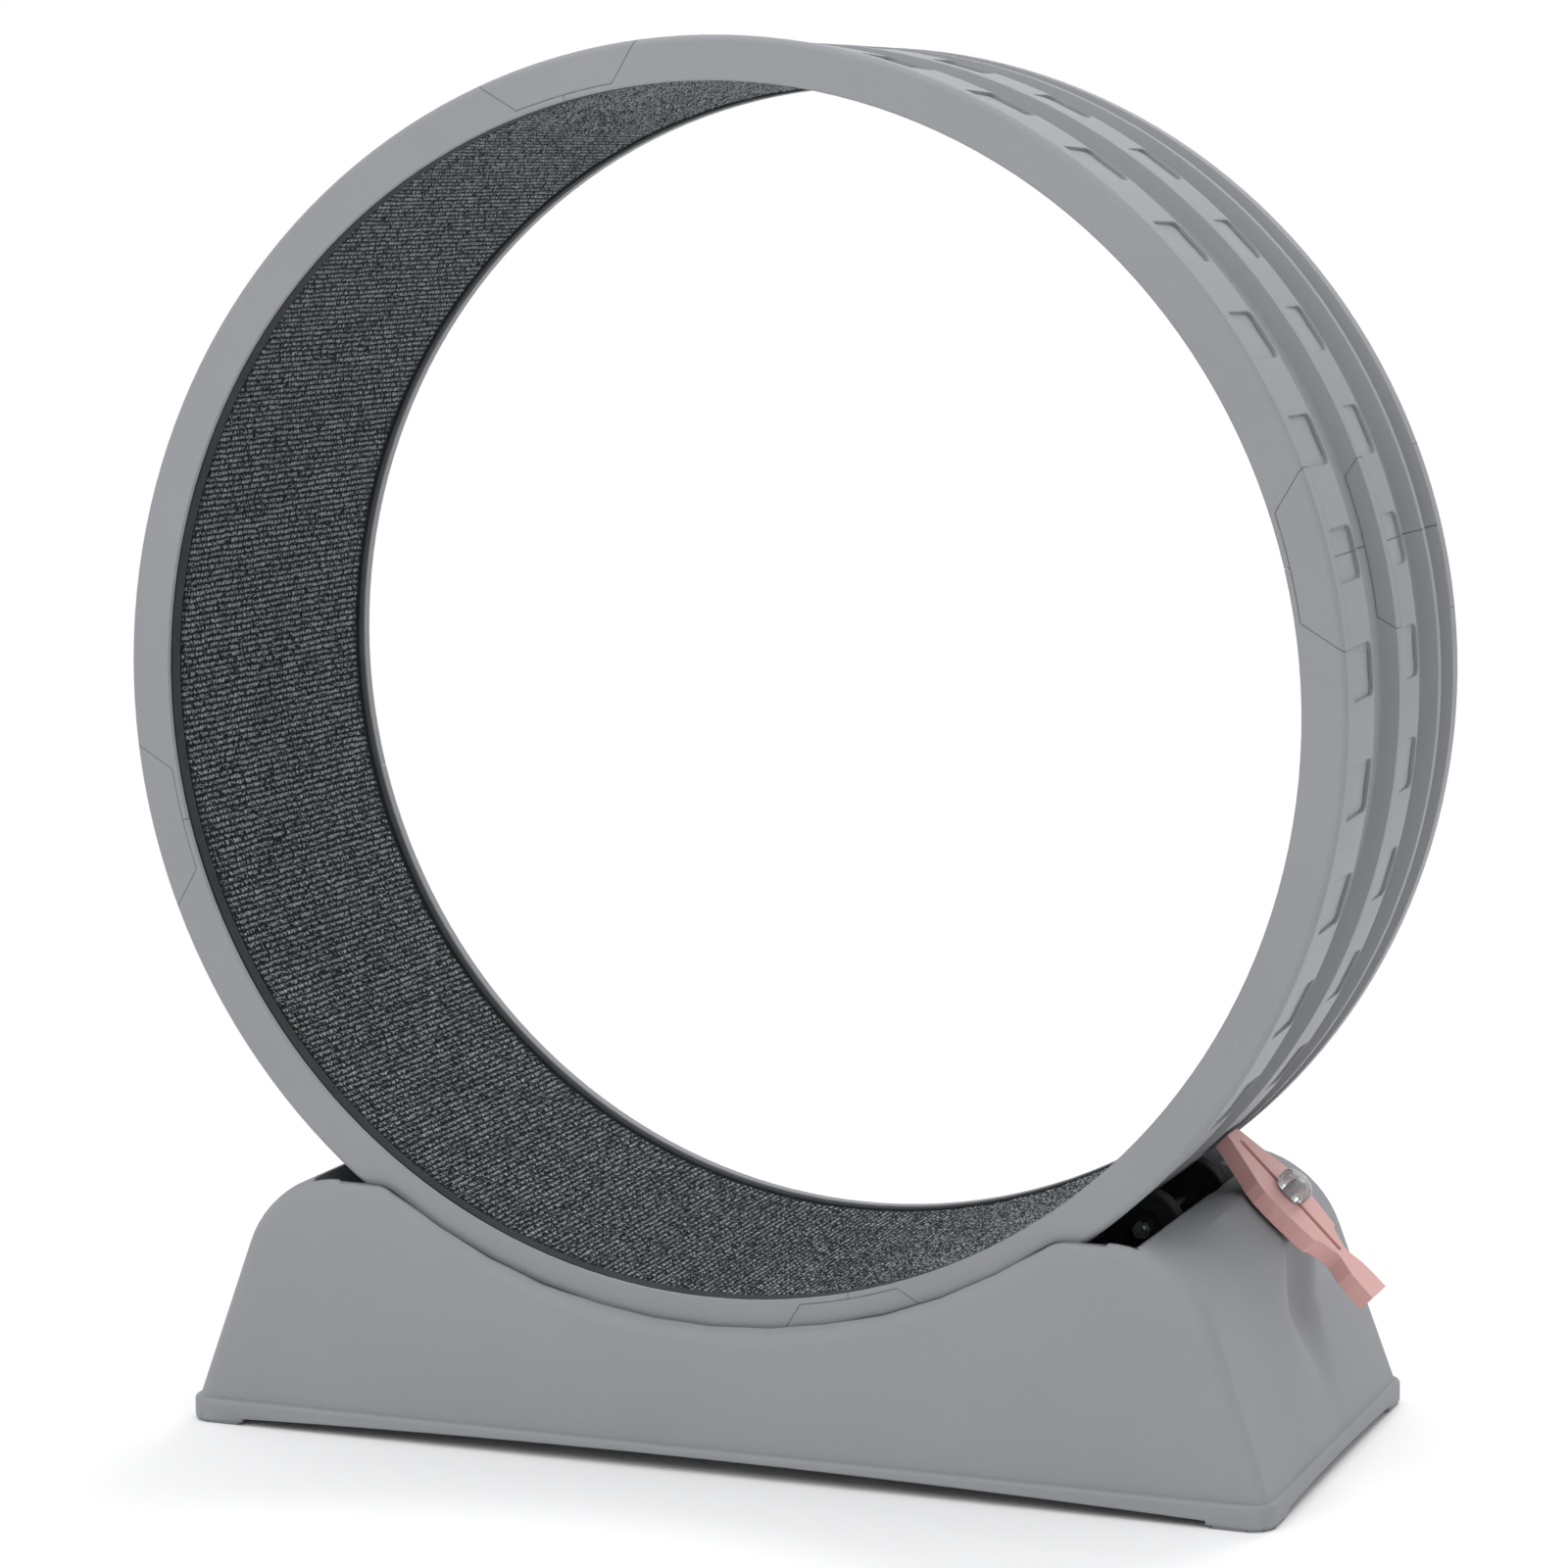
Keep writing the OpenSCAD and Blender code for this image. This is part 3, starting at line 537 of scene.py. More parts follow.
def wear(node: str, material: bpy.types.Material) -> None:
    """Puts one finish on every slot of a CAD node's object.

    Args:
        node: The CAD node.
        material: The finish.
    """
    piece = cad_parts[node]
    if not piece.material_slots:
        piece.data.materials.append(material)
    for held in piece.material_slots:
        held.material = material


def mesh_object(name: str, mesh: bpy.types.Mesh) -> bpy.types.Object:
    """Links a mesh into the scene as an object at the origin.

    Args:
        name: The object's name.
        mesh: Its mesh.

    Returns:
        The object.
    """
    made = bpy.data.objects.new(name, mesh)
    bpy.context.scene.collection.objects.link(made)
    return made


def merged_copy(node: str, name: str, merge: float = 1e-6) -> bpy.types.Object:
    """Copies a CAD node and joins its loose triangles.

    Args:
        node: The CAD node.
        name: The copy's name.
        merge: Points closer than this become one.

    Returns:
        The copy.
    """
    mesh = bpy.data.meshes.new(name)
    work = bmesh.new()
    work.from_mesh(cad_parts[node].data)
    bmesh.ops.remove_doubles(work, verts=work.verts, dist=merge)
    work.to_mesh(mesh)
    work.free()
    return mesh_object(name, mesh)


def crease(piece: bpy.types.Object, angle: float) -> None:
    """Shades a mesh smooth except over edges sharper than an angle.

    Args:
        piece: The object.
        angle: The angle in degrees.
    """
    mesh = piece.data
    for face in mesh.polygons:
        face.use_smooth = True
    mesh.set_sharp_from_angle(angle=math.radians(angle))


def fade(value: float, start: float, full: float) -> float:
    """Eases from 0 to 1 between two values.

    Args:
        value: The value.
        start: Where it is still 0.
        full: Where it reaches 1.

    Returns:
        A share between 0 and 1.
    """
    share = min(max((value - start) / (full - start), 0.0), 1.0)
    return share * share * (3 - 2 * share)


def outward(mesh: bpy.types.Mesh) -> None:
    """Turns a closed mesh's faces so that they point outwards.

    Args:
        mesh: The mesh, changed in place.
    """
    work = bmesh.new()
    work.from_mesh(mesh)
    bmesh.ops.recalc_face_normals(work, faces=work.faces)
    if work.calc_volume(signed=True) < 0:
        bmesh.ops.reverse_faces(work, faces=work.faces)
    work.to_mesh(mesh)
    work.free()


def tube_faces(loops: int, around: int) -> list[tuple[int, ...]]:
    """Gives the faces between closed loops of points that follow one another.

    Args:
        loops: How many loops there are.
        around: How many points each has.

    Returns:
        The point numbers of each face.
    """
    return [(i * around + j, i * around + (j + 1) % around, (i + 1) * around + (j + 1) % around,
             (i + 1) * around + j) for i in range(loops - 1) for j in range(around)]


class Recipe(NodeTree):
    """A Geometry Nodes tree with named inputs."""

    def __init__(self, name: str) -> None:
        """Starts an empty tree.

        Args:
            name: The tree's name.
        """
        super().__init__(bpy.data.node_groups.new(name, "GeometryNodeTree"))
        self.entry = self.add("NodeGroupInput")
        self.exit = self.add("NodeGroupOutput")
        self.tree.interface.new_socket("Geometry", in_out="INPUT", socket_type="NodeSocketGeometry")
        self.tree.interface.new_socket("Geometry", in_out="OUTPUT", socket_type="NodeSocketGeometry")
        self.values: dict[str, object] = {}

    def size(self, name: str, value: object) -> Socket:
        """Adds a named input.

        Args:
            name: The input's name.
            value: The number, or the material, that it holds.

        Returns:
            Its socket inside the tree.
        """
        kind = {int: "NodeSocketInt", float: "NodeSocketFloat"}.get(type(value), "NodeSocketMaterial")
        made = self.tree.interface.new_socket(name, in_out="INPUT", socket_type=kind)
        self.values[made.identifier] = value
        return next(s for s in self.entry.outputs if s.identifier == made.identifier)

    def bake(self, name: str, geometry: Socket, material: bpy.types.Material) -> bpy.types.Object:
        """Ends the tree, runs it once and keeps the result as a plain mesh.

        Args:
            name: The piece's name.
            geometry: What the tree has made.
            material: The piece's finish.

        Returns:
            The piece.
        """
        finish = self.size("Finish", material)
        real = self.add("GeometryNodeRealizeInstances", {0: geometry})
        worn = self.add("GeometryNodeSetMaterial", {"Geometry": real.outputs[0], "Material": finish})
        self.tree.links.new(worn.outputs[0], self.exit.inputs[0])
        holder = mesh_object(name + "_recipe", bpy.data.meshes.new(name + "_recipe"))
        modifier = holder.modifiers.new("recipe", "NODES")
        modifier.node_group = self.tree
        for identifier, value in self.values.items():
            modifier[identifier] = value
        seen = holder.evaluated_get(bpy.context.evaluated_depsgraph_get())
        mesh = bpy.data.meshes.new_from_object(seen)
        mesh.name = name
        bpy.data.objects.remove(holder)
        return mesh_object(name, mesh)


@dataclass
class Wheel:
    """The ring of four hollow segments and the dovetail keys that lock them."""

    segments: int = 4
    key_rows: Sequence[str] = ("front", "middle", "back")

    def names(self) -> list[str]:
        """Gives the ring's CAD nodes."""
        numbers = range(1, self.segments + 1)
        segments = [f"wheel_segment_{n}" for n in numbers]
        return segments + [f"{row}_joint_key_{n}" for row in self.key_rows for n in numbers]

    def build(self, plastic: bpy.types.Material) -> None:
        """Dresses the ring.

        Args:
            plastic: The moulded plastic's finish.
        """
        for name in self.names():
            wear(name, plastic)
            log.info("%s keeps its CAD solid", name)


@dataclass
class RunningMat:
    """The looped carpet lining, its rows of loops running across the wheel, and its two edge bindings."""

    inner_radius: float = 0.4664
    outer_radius: float = 0.4737
    front_edge: float = -0.1546
    back_edge: float = 0.1561
    seam_angle: float = 7.0
    seam_width: float = 0.001
    rows: int = 586
    columns: int = 76
    under_columns: int = 4
    relief: float = 0.0019
    least_ridge: float = 0.45
    bare_columns: float = 2.0
    wander: float = 0.32
    wander_gain: float = 4.0
    wave_across: float = 26.0
    wave_along: float = 0.31
    calm_steps: float = 12.0
    seed: int = 11

    def pile(self, material: bpy.types.Material) -> bpy.types.Object:
        """Builds the carpet by wrapping a grid round the wheel, with a ridge for each row of loops.

        Args:
            material: The pile's finish.

        Returns:
            The carpet.
        """
        r = Recipe("looped_pile")
        inner = r.size("Pile radius", self.inner_radius)
        outer = r.size("Backing radius", self.outer_radius)
        front = r.size("Front edge", self.front_edge)
        back = r.size("Back edge", self.back_edge)
        relief = r.size("Row relief", self.relief)
        wander = r.size("Row wander", self.wander)
        rows = r.size("Rows", self.rows)
        columns = r.size("Loop columns", self.columns)
        seed = r.size("Seed", self.seed)
        gap = self.seam_width / self.outer_radius
        start = r.size("Seam end", math.radians(self.seam_angle) + 0.5 * gap)
        sweep = r.size("Sweep", 2 * math.pi - gap)
        round_it = r.math("ADD", columns, float(self.under_columns + 2))
        steps = r.math("MULTIPLY", rows, 2.0)
        grid = r.add("GeometryNodeMeshGrid", {
            "Size X": round_it, "Size Y": steps,
            "Vertices X": r.math("ADD", round_it, 1.0), "Vertices Y": r.math("ADD", steps, 1.0)})
        place = r.add("ShaderNodeSeparateXYZ", {0: r.add("GeometryNodeInputPosition").outputs[0]}).outputs
        u = r.math("ROUND", r.math("MULTIPLY_ADD", round_it, 0.5, place[0]))
        v = r.math("ROUND", r.math("ADD", place[1], rows))
        turn = r.math("ADD", columns, 1.0)
        last = r.math("ADD", turn, float(self.under_columns))
        across = r.math("ADD", r.spread(u, 0.0, columns, front, back),
                        r.spread(u, turn, last, 0.0, r.math("SUBTRACT", front, back)))
        under = r.math("MULTIPLY", r.math("GREATER_THAN", u, r.math("SUBTRACT", turn, 0.5)),
                       r.math("LESS_THAN", u, r.math("ADD", last, 0.5)))
        ridge = r.math("MODULO", v, 2.0)
        chance = r.add("FunctionNodeRandomValue", {"Seed": seed}, data_type="FLOAT").outputs[1]
        inset = r.math("MULTIPLY", r.spread(u, 0.0, self.bare_columns),
                       r.spread(u, r.math("SUBTRACT", columns, self.bare_columns), columns, 1.0, 0.0))
        raised = r.math("MULTIPLY", r.math("MULTIPLY", ridge, inset),
                        r.spread(chance, 0.0, 1.0, self.least_ridge))
        depth = r.math("MULTIPLY", r.math("SUBTRACT", 1.0, raised), relief)
        top = r.math("ADD", inner, depth)
        radius = r.math("ADD", top, r.math("MULTIPLY", under, r.math("SUBTRACT", outer, top)))
        row = r.math("FLOOR", r.math("MULTIPLY", v, 0.5))
        spot = r.add("ShaderNodeCombineXYZ", {
            0: r.math("MULTIPLY", across, self.wave_across), 1: r.math("MULTIPLY", row, self.wave_along)})
        wave = r.add("ShaderNodeTexNoise", {"Vector": spot.outputs[0], "Scale": 1.0, "Detail": 2.0})
        calm = r.math("MULTIPLY", r.spread(v, 0.0, self.calm_steps),
                      r.spread(v, r.math("SUBTRACT", steps, self.calm_steps), steps, 1.0, 0.0))
        swing = r.math("MULTIPLY", r.math("SUBTRACT", wave.outputs[0], 0.5), calm)
        shift = r.math("MULTIPLY", swing, r.math("MULTIPLY", wander, self.wander_gain))
        share = r.math("DIVIDE", r.math("ADD", v, shift), steps)
        angle = r.math("MULTIPLY_ADD", share, sweep, start)
        target = r.add("ShaderNodeCombineXYZ", {
            0: r.math("MULTIPLY", radius, r.math("COSINE", angle)), 1: across,
            2: r.math("MULTIPLY_ADD", radius, r.math("SINE", angle), AXLE_HEIGHT)})
        told = r.add("ShaderNodeCombineXYZ", {0: across, 1: r.math("MULTIPLY", v, 0.5), 2: raised})
        note = {"Geometry": grid.outputs[0], "Name": "loops", "Value": told.outputs[0]}
        kept = r.add("GeometryNodeStoreNamedAttribute", note, data_type="FLOAT_VECTOR", domain="POINT")
        moved = r.add("GeometryNodeSetPosition", {
            "Geometry": kept.outputs[0], "Position": target.outputs[0]})
        piece = r.bake("running_mat_pile", moved.outputs[0], material)
        self.close(piece.data)
        return piece

    @staticmethod
    def close(mesh: bpy.types.Mesh) -> None:
        """Joins the wrapped grid's long edges, closes the mat's two cut ends and shades it smooth.

        Args:
            mesh: The mat's mesh, changed in place.
        """
        work = bmesh.new()
        work.from_mesh(mesh)
        bmesh.ops.remove_doubles(work, verts=work.verts, dist=1e-5)
        bmesh.ops.holes_fill(work, edges=[e for e in work.edges if e.is_boundary], sides=0)
        work.to_mesh(mesh)
        work.free()
        outward(mesh)
        for face in mesh.polygons:
            face.use_smooth = True

    def build(self, pile: bpy.types.Material, tape: bpy.types.Material, segments: Iterable[str]) -> None:
        """Args:
            pile: The carpet's finish.
            tape: The binding's finish.
            segments: The nodes that the mat lies on; not used.
        """
        carpet = self.pile(pile)
        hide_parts("running_mat")
        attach(carpet, "wheel")
        front = EdgeBinding("front_edge_binding", -0.1717, -0.1549, seed=3, wander=0.0022).build(tape)
        back = EdgeBinding("back_edge_binding", 0.1563, 0.1662, seed=8, wander=0.0008,
                           free_side=1).build(tape)
        log.info("%s: %d faces", carpet.name, len(carpet.data.polygons))


@dataclass
class EdgeBinding:
    """A flat tape laid over one cut edge of the mat."""

    node: str
    front: float
    back: float
    seed: int
    wander: float
    free_side: int = -1
    inner_radius: float = 0.4660
    outer_radius: float = 0.4736
    corner: float = 0.0022
    seam_angle: float = 7.0
    seam_width: float = 0.001
    steps: int = 900
    ripple: float = 0.0005
    wave_turns: tuple[int, int] = (2, 40)
    wave_fall: float = 0.9
    corner_points: int = 5
    top_points: Sequence[float] = (0.15, 0.3, 0.5, 0.7, 0.85)
    crease_angle: float = 50.0

    def profile(self) -> list[tuple[float, float, float]]:
        """Gives the tape's section as a closed loop.

        Returns:
            Points as share across, share deep and metres along the outline.
        """
        width, deep = self.back - self.front, self.outer_radius - self.inner_radius
        c = self.corner
        turns = [(math.cos(t), math.sin(t)) for t in np.linspace(0, math.pi / 2, self.corner_points)]
        points = [(0.0, deep)]
        points += [(c - c * x, c - c * y) for x, y in turns]
        points += [(c + (width - 2 * c) * share, 0.0) for share in self.top_points]
        points += [(width - c + c * y, c - c * x) for x, y in turns]
        points += [(width, deep)]
        out, run = [], 0.0
        for n, (a, b) in enumerate(points):
            if n:
                run += math.dist((a, b), points[n - 1])
            out.append((a / width, b / deep, run))
        return out

    def build(self, material: bpy.types.Material) -> bpy.types.Object:
        """Sweeps the section round the wheel with a slight ripple, as a hand-laid tape has.

        Args:
            material: The tape's finish.

        Returns:
            The binding.
        """
        section = self.profile()
        rng = np.random.default_rng(self.seed)
        turns = np.arange(*self.wave_turns)
        size = 1 / turns**self.wave_fall
        phase = rng.uniform(0, 2 * np.pi, (3, len(turns)))
        gap = self.seam_width / self.outer_radius / 2
        seam = math.radians(self.seam_angle)
        angles = np.linspace(seam + gap, seam + 2 * math.pi - gap, self.steps)
        waves = np.array([(size * np.sin(np.outer(angles, turns) + p)).sum(1) for p in phase])
        waves = waves / np.abs(waves).max(1, keepdims=True)
        points, told = [], []
        for n, angle in enumerate(angles):
            inset = self.wander * (0.5 + 0.5 * waves[0, n])
            front = self.front + (inset if self.free_side < 0 else 0.0)
            back = self.back - (inset if self.free_side > 0 else 0.0)
            for a, b, run in section:
                lift = self.ripple * (0.5 + 0.5 * (waves[1, n] * (1 - a) + waves[2, n] * a)) * (1 - b)
                radius = self.inner_radius + (self.outer_radius - self.inner_radius) * b + lift
                high = AXLE_HEIGHT + radius * math.sin(angle)
                points.append((radius * math.cos(angle), front + (back - front) * a, high))
                told.append((run, (angle - angles[0]) * self.inner_radius, 0.0))
        k = len(section)
        faces = tube_faces(self.steps, k)
        faces += [tuple(range(k)), tuple((self.steps - 1) * k + j for j in reversed(range(k)))]
        mesh = bpy.data.meshes.new(self.node + "_tape")
        mesh.from_pydata(points, [], faces)
        weave = mesh.attributes.new("weave", "FLOAT_VECTOR", "POINT")
        weave.data.foreach_set("vector", np.array(told, np.float32).ravel())
        outward(mesh)
        piece = mesh_object(self.node + "_tape", mesh)
        crease(piece, self.crease_angle)
        mesh.materials.append(material)
        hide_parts(self.node)
        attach(piece, "wheel")
        log.info("%s: %d faces", piece.name, len(mesh.polygons))
        return piece


@dataclass
class RollerSet:
    """The four rollers with their axles, nuts and brackets."""

    def build(self, tyre: bpy.types.Material, nylon: bpy.types.Material, steel: bpy.types.Material) -> None:
        """Dresses the rollers and what carries them.

        Args:
            tyre: The tyre's finish.
            nylon: The finish of the hubs and brackets.
            steel: The finish of the axles and nuts.
        """
        for side in Side:
            word = side.value
            wear(f"{word}_roller_axle", steel)
            wear(f"{word}_roller_bracket", nylon)
            for row in Row:
                wear(f"{word}_{row.value}_roller_tyre", tyre)
                wear(f"{word}_{row.value}_roller_hub", nylon)
                wear(f"{word}_{row.value}_axle_nut", steel)
            log.info("%s rollers, axle and bracket keep their CAD solids", word)


@dataclass
class SaddleBase:
    """The moulded saddle base and the pedestal of its brake.

    The CAD shell has a deep round dent for the pedestal. In the copy that is seen, the dent is a soft
    shallow valley, and the shell swells up to just under the lever.
    """

    crease_angle: float = 34.0
    dent_middle: float = 0.0245
    dent_reach: float = 0.072
    dent_from: float = 0.25
    dent_slope: float = 58.5
    plain_section: tuple[float, float] = (-0.0445, -0.0325)
    lever_angle: float = 45.0
    lever_half: float = 0.037
    lever_under: float = 0.0115
    swell: float = 0.017
    swell_reach: float = 0.085
    swell_along: tuple[float, float, float, float] = (0.095, 0.120, 0.165, 0.215)
    valley_share: float = 0.85
    valley_along: tuple[float, float] = (0.155, 0.195)
    cuts: Sequence[float] = (-0.13, -0.11, -0.09, -0.07, -0.055, 0.105, 0.12, 0.14)

    @staticmethod
    def square_to(slope: float) -> Vector:
        """Gives the way out of a surface that slopes towards the base's right end.

        Args:
            slope: The surface's slope in degrees.

        Returns:
            A unit vector.
        """
        angle = math.radians(slope)
        return Vector((math.sin(angle), 0.0, math.cos(angle)))

    def section(self, work: bmesh.types.BMesh) -> list[list[Vector]]:
        """Gives the right end's outline in front of the dent, where the dent does not reach.

        Args:
            work: The shell's mesh.

        Returns:
            The outline's edges as pairs of points.
        """
        low, high = self.plain_section
        return [[v.co.copy() for v in edge.verts] for edge in work.edges
                if all(low < v.co.y < high and v.co.x > 0.0 for v in edge.verts)]

    def cut(self, work: bmesh.types.BMesh) -> None:
        """Cuts the right end along planes of even Y, so that it has points to bend at.

        Args:
            work: The shell's mesh, changed in place.
        """
        for place in self.cuts:
            near = [f for f in work.faces if f.calc_center_median().x > self.dent_from]
            held = set(near)
            parts = near + [e for e in work.edges if not held.isdisjoint(e.link_faces)]
            parts += [v for v in work.verts if not held.isdisjoint(v.link_faces)]
            bmesh.ops.bisect_plane(work, geom=parts, dist=1e-6, plane_co=(0, place, 0), plane_no=(0, 1, 0))

    @staticmethod
    def depth(point: Vector, way: Vector, outline: Sequence[Sequence[Vector]]) -> float:
        """Gives how far a point lies inside an outline.

        Args:
            point: The point; its Y does not count.
            way: The way out, a unit vector in the plane of X and Z.
            outline: The outline's edges.

        Returns:
            The distance to the farthest edge that the way out crosses, or 0.
        """
        far = 0.0
        for pair in outline:
            (ax, az), (bx, bz) = ((end.x - point.x, end.z - point.z) for end in pair)
            side_a, side_b = ax * way.z - az * way.x, bx * way.z - bz * way.x
            if side_a * side_b > 0 or side_a == side_b:
                continue
            share = side_a / (side_a - side_b)
            far = max(far, (ax + (bx - ax) * share) * way.x + (az + (bz - az) * share) * way.z)
        return far

    def soften_dent(self, piece: bpy.types.Object) -> None:
        """Turns the deep dent under the brake into a soft valley and brings the shell up to the lever.

        Args:
            piece: The shell's copy, changed in place.
        """
        out, up = self.square_to(self.dent_slope), self.square_to(self.lever_angle)
        lever_line = AXLE_HEIGHT * up.z
        reach = self.lever_half + self.swell_reach
        start, full, ease, end = self.swell_along
        work = bmesh.new()
        work.from_mesh(piece.data)
        outline = self.section(work)
        self.cut(work)
        work.normal_update()
        moved = 0
        for vert in work.verts:
            beside = abs(vert.co.y - self.dent_middle)
            if beside > reach or vert.co.x < self.dent_from or vert.normal.dot(out) <= 0.0:
                continue
            drop = self.depth(vert.co, out, outline) if beside < self.dent_reach else 0.0
            plain = vert.co + out * drop
            along = (plain.x - plain.z) * up.x
            share = fade(beside, reach, self.lever_half) * fade(along, start, full) * fade(along, end, ease)
            lift = min(max(lever_line - self.lever_under - plain.dot(up), 0.0), self.swell)
            keep = self.valley_share * drop * fade(along, *self.valley_along)
            vert.co = plain - out * keep + up * (share * lift)
            moved += 1
        work.to_mesh(piece.data)
        work.free()
        log.info("%s: %d points of the dent raised", piece.name, moved)

    def build(self, plastic: bpy.types.Material) -> None:
        """Dresses the base in a smoothly shaded copy of its shell.

        Args:
            plastic: The moulded plastic's finish.
        """
        shell = merged_copy("base_shell", "saddle_base")
        self.soften_dent(shell)
        crease(shell, self.crease_angle)
        even = shell.modifiers.new("even_shading", "WEIGHTED_NORMAL")
        even.keep_sharp = True
        shell.data.materials.append(plastic)
        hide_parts("base_shell")
        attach(shell, "base")
        wear("brake_pedestal", plastic)
        log.info("%s: %d faces", shell.name, len(shell.data.polygons))


@dataclass
class ClampKnob:
    """The clear lobed knob: a crowned, faceted body over a blind bore, standing square to the lever."""

    foot: Place = (0.403970, 0.0245, 0.207061)
    axis: Place = (0.70710678, 0.0, 0.70710678)
    radius: float = 0.0145
    height: float = 0.015
    bore_radius: float = 0.00305
    bore_share: float = 0.7
    lobes: int = 8
    lobe_depth: float = 0.17
    steps: int = 96
    crease_angle: float = 24.0
    rings: Sequence[tuple[float, float, float]] = (
        (0.0, 0.94, 1.0), (0.07, 1.0, 1.0), (0.6, 1.0, 1.0),
        (0.78, 0.93, 0.95), (0.92, 0.74, 0.7), (1.0, 0.42, 0.4))

    def ring(self, high: float, wide: float, lobed: float) -> list[tuple[float, float, float]]:
        """Gives one lobed ring of points.

        Args:
            high: Its place as a share of the knob's height.
            wide: Its radius as a share of the knob's.
            lobed: How much of the lobes shows in it.

        Returns:
            The points in the knob's own frame.
        """
        points = []
        for n in range(self.steps):
            turn = 2 * math.pi * n / self.steps
            dent = self.lobe_depth * lobed * (1 - abs(math.cos(self.lobes * turn / 2)))
            reach = self.radius * wide * (1 - dent)
            points.append((reach * math.cos(turn), reach * math.sin(turn), self.height * high))
        return points

    def build(self, plastic: bpy.types.Material) -> bpy.types.Object:
        """Builds the knob.

        Args:
            plastic: Its finish.

        Returns:
            The knob.
        """
        bore = self.bore_radius / self.radius
        loops = [self.ring(self.bore_share, bore, 0.0), self.ring(0.0, bore, 0.0)]
        loops += [self.ring(*ring) for ring in self.rings]
        points = [point for loop in loops for point in loop]
        top, inside = len(points), len(points) + 1
        points += [(0.0, 0.0, self.height), (0.0, 0.0, self.height * self.bore_share)]
        k = self.steps
        faces = tube_faces(len(loops), k)
        last = (len(loops) - 1) * k
        faces += [(last + j, last + (j + 1) % k, top) for j in range(k)]
        faces += [((j + 1) % k, j, inside) for j in range(k)]
        mesh = bpy.data.meshes.new("clamp_knob")
        mesh.from_pydata(points, [], faces)
        turn = Vector((0.0, 0.0, 1.0)).rotation_difference(Vector(self.axis)).to_matrix().to_4x4()
        mesh.transform(Matrix.Translation(self.foot) @ turn)
        outward(mesh)
        piece = mesh_object("clamp_knob", mesh)
        crease(piece, self.crease_angle)
        mesh.materials.append(plastic)
        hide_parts("brake_knob")
        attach(piece, "brake_knob")
        log.info("%s: %d faces", piece.name, len(mesh.polygons))
        return piece


@dataclass
class Brake:
    """The sliding brake lever with its clamping knob."""

    def build(self, lever: bpy.types.Material, knob: bpy.types.Material, steel: bpy.types.Material) -> None:
        """Dresses the brake.

        Args:
            lever: The lever's finish.
            knob: The knob's finish.
            steel: The stud's and washer's finish.
        """
        wear("brake_lever", lever)
        ClampKnob().build(knob)
        wear("brake_stud", steel)
        wear("brake_washer", steel)
        log.info("the lever, stud and washer keep their CAD solids")


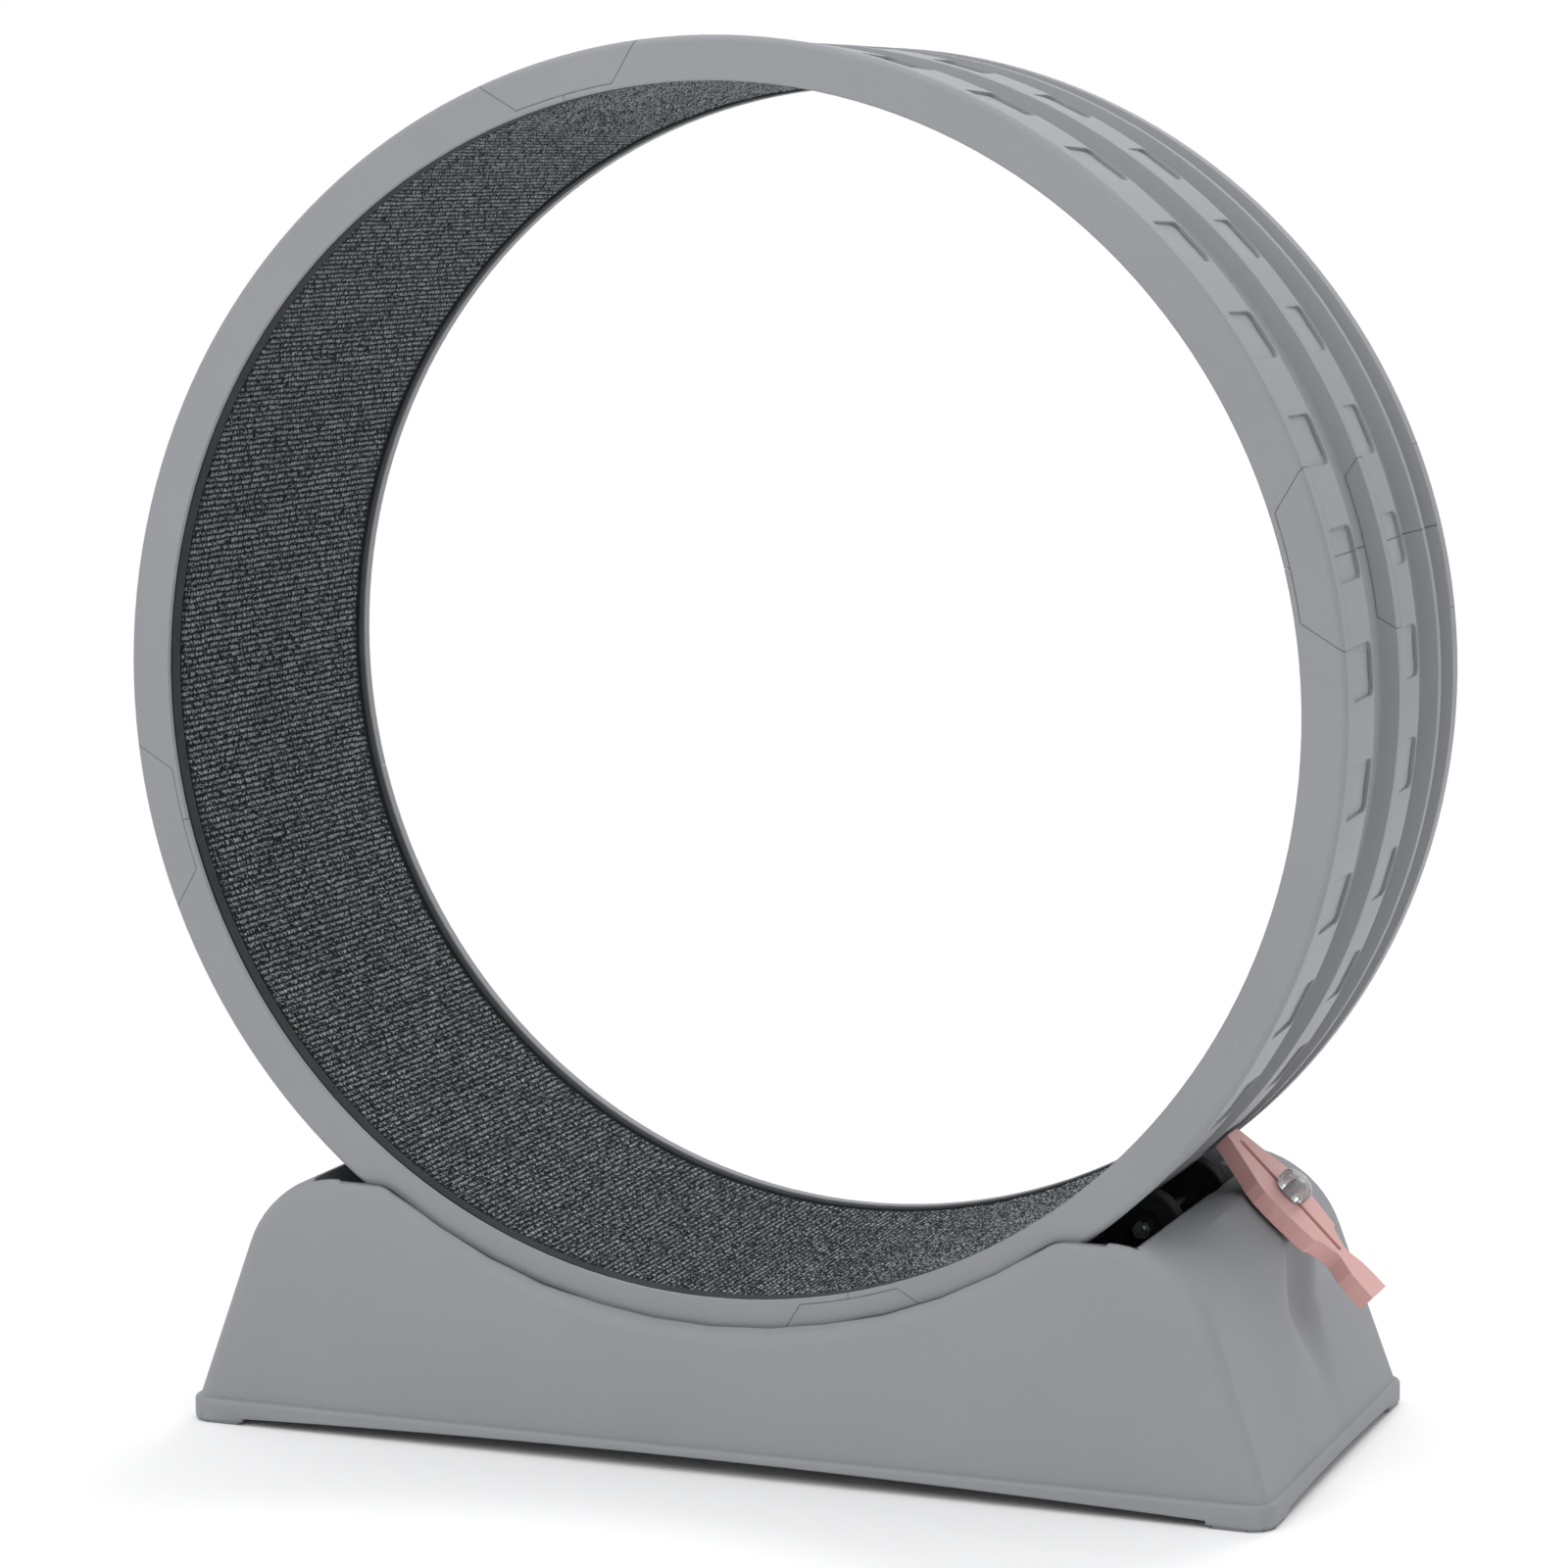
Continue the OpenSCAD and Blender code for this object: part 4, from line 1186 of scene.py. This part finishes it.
@dataclass
class Studio:
    """A pale floor, soft lamps and the picture's own view."""

    eye: Place = (1.3342547, -3.3329233, 0.9998372)
    right: Place = (0.9280184, 0.3724248, -0.0090328)
    up: Place = (-0.0417027, 0.1279492, 0.9909036)
    back: Place = (0.3701928, -0.9192, 0.1342703)
    lens: float = 104.174
    sensor: float = 36.0
    floor_colour: Colour = (0.95, 0.95, 0.955)
    floor_size: float = 30.0
    floor_cloud: float = 0.5
    farthest: float = 100.0
    plain_from: float = 0.55
    plain_to: float = 1.3
    ambient: float = 0.68
    lamps: list[tuple[str, Place, Place, float, float, bool]] = field(default_factory=lambda: [
        ("overhead_lamp", (-0.1, -0.4, 3.6), (0.0, 0.0, 0.5), 4.2, 58.0, True),
        ("front_lamp", (-0.5, -2.4, 2.6), (0.0, 0.0, 0.8), 2.0, 24.0, True),
        ("back_lamp", (0.4, 3.6, 2.6), (-0.1, 0.15, 0.5), 2.6, 105.0, False),
    ])

    def camera(self) -> None:
        """Sets up the camera."""
        data = bpy.data.cameras.new("picture_view")
        data.lens = self.lens
        data.sensor_width = self.sensor
        data.clip_end = self.farthest
        made = bpy.data.objects.new("picture_view", data)
        turn = Matrix((self.right, self.up, self.back)).transposed().to_4x4()
        made.matrix_world = Matrix.Translation(self.eye) @ turn
        bpy.context.scene.collection.objects.link(made)
        bpy.context.scene.camera = made

    @staticmethod
    def lamp(name: str, place: Place, aim: Place, size: float, power: float, shines: bool) -> None:
        """Hangs one square softbox.

        Args:
            name: The lamp's name.
            place: Where it hangs.
            aim: What it faces.
            size: Its side in metres.
            power: Its power in watts.
            shines: Whether glossy surfaces mirror it.
        """
        data = bpy.data.lights.new(name, "AREA")
        data.shape = "SQUARE"
        data.size = size
        data.energy = power
        made = bpy.data.objects.new(name, data)
        made.visible_camera = False
        made.visible_glossy = shines
        made.location = place
        made.rotation_euler = (Vector(aim) - Vector(place)).to_track_quat("-Z", "Y").to_euler()
        bpy.context.scene.collection.objects.link(made)

    def world(self) -> None:
        """Sets a white surround: plain white where it is seen, and softer where it lights."""
        made = bpy.data.worlds.new("surround")
        made.use_nodes = True
        w = NodeTree(made.node_tree)
        ray = w.add("ShaderNodeLightPath").outputs
        seen = w.math("MAXIMUM", ray["Is Camera Ray"], ray["Is Glossy Ray"])
        any_seen = w.math("MAXIMUM", seen, ray["Is Transmission Ray"])
        level = w.spread(any_seen, 0.0, 1.0, self.ambient)
        shine = w.add("ShaderNodeBackground", {"Strength": level, "Color": WHITE})
        w.add("ShaderNodeOutputWorld", {0: shine.outputs[0]})
        bpy.context.scene.world = made

    def floor(self) -> None:
        """Lays the floor."""
        half = self.floor_size / 2
        corners = [(-half, -half, 0), (half, -half, 0), (half, half, 0), (-half, half, 0)]
        mesh = bpy.data.meshes.new("studio_floor")
        mesh.from_pydata(corners, [], [(0, 1, 2, 3)])
        made = mesh_object("studio_floor", mesh)
        s = Shader("studio_floor")
        place = s.place()
        cloud = s.noise(place, self.floor_cloud)
        colour = s.mix(cloud, solid(self.floor_colour), solid(self.floor_colour, 1.01))
        mesh.materials.append(s.finish(Base_Color=colour, Roughness=0.9, Specular_IOR_Level=0.0))
        lit = s.output.inputs[0].links[0].from_socket
        far = s.node("VectorMath", {0: place}, operation="LENGTH").outputs["Value"]
        seen = s.math("MULTIPLY", s.node("LightPath").outputs["Is Camera Ray"],
                      s.spread(far, self.plain_from, self.plain_to))
        white = s.node("Emission", {"Color": WHITE, "Strength": 1.0}).outputs[0]
        both = s.node("MixShader", {0: seen, 1: lit, 2: white}).outputs[0]
        s.tree.links.new(both, s.output.inputs[0])

    def build(self) -> None:
        """Sets up the whole studio."""
        self.camera()
        self.world()
        self.floor()
        for lamp in self.lamps:
            self.lamp(*lamp)
        bpy.context.scene.view_settings.view_transform = "Standard"
        log.info("studio: %d lamps", len(self.lamps))


def main() -> None:
    """Builds the studio and every sub-assembly."""
    logging.basicConfig(level=logging.INFO, format="%(message)s")
    Studio().build()
    grey = MouldedPlastic(Slot.MOULDED.value, (0.268, 0.2755, 0.292), edge=0.0022, edge_light=0.2).build()
    nylon = MouldedPlastic(Slot.NYLON.value, (0.020, 0.021, 0.022), roughness=0.42, grain_depth=0.00003,
                           mottle=0.08, edge=0.0005).build()
    pink = MouldedPlastic(Slot.LEVER.value, (0.67, 0.38, 0.355), roughness=0.36, grain_depth=0.00002,
                          edge=0.0009, cloud=0.03).build()
    steel = ZincSteel(Slot.STEEL.value).build()
    wheel = Wheel()
    wheel.build(grey)
    RunningMat().build(LoopPile(Slot.PILE.value).build(), WovenTape(Slot.BINDING.value).build(),
                       wheel.names()[:wheel.segments])
    RollerSet().build(TyreRubber(Slot.TYRE.value).build(), nylon, steel)
    SaddleBase().build(grey)
    Brake().build(pink, ClearPlastic(Slot.KNOB.value).build(), steel)


if __name__ == "__main__":
    main()
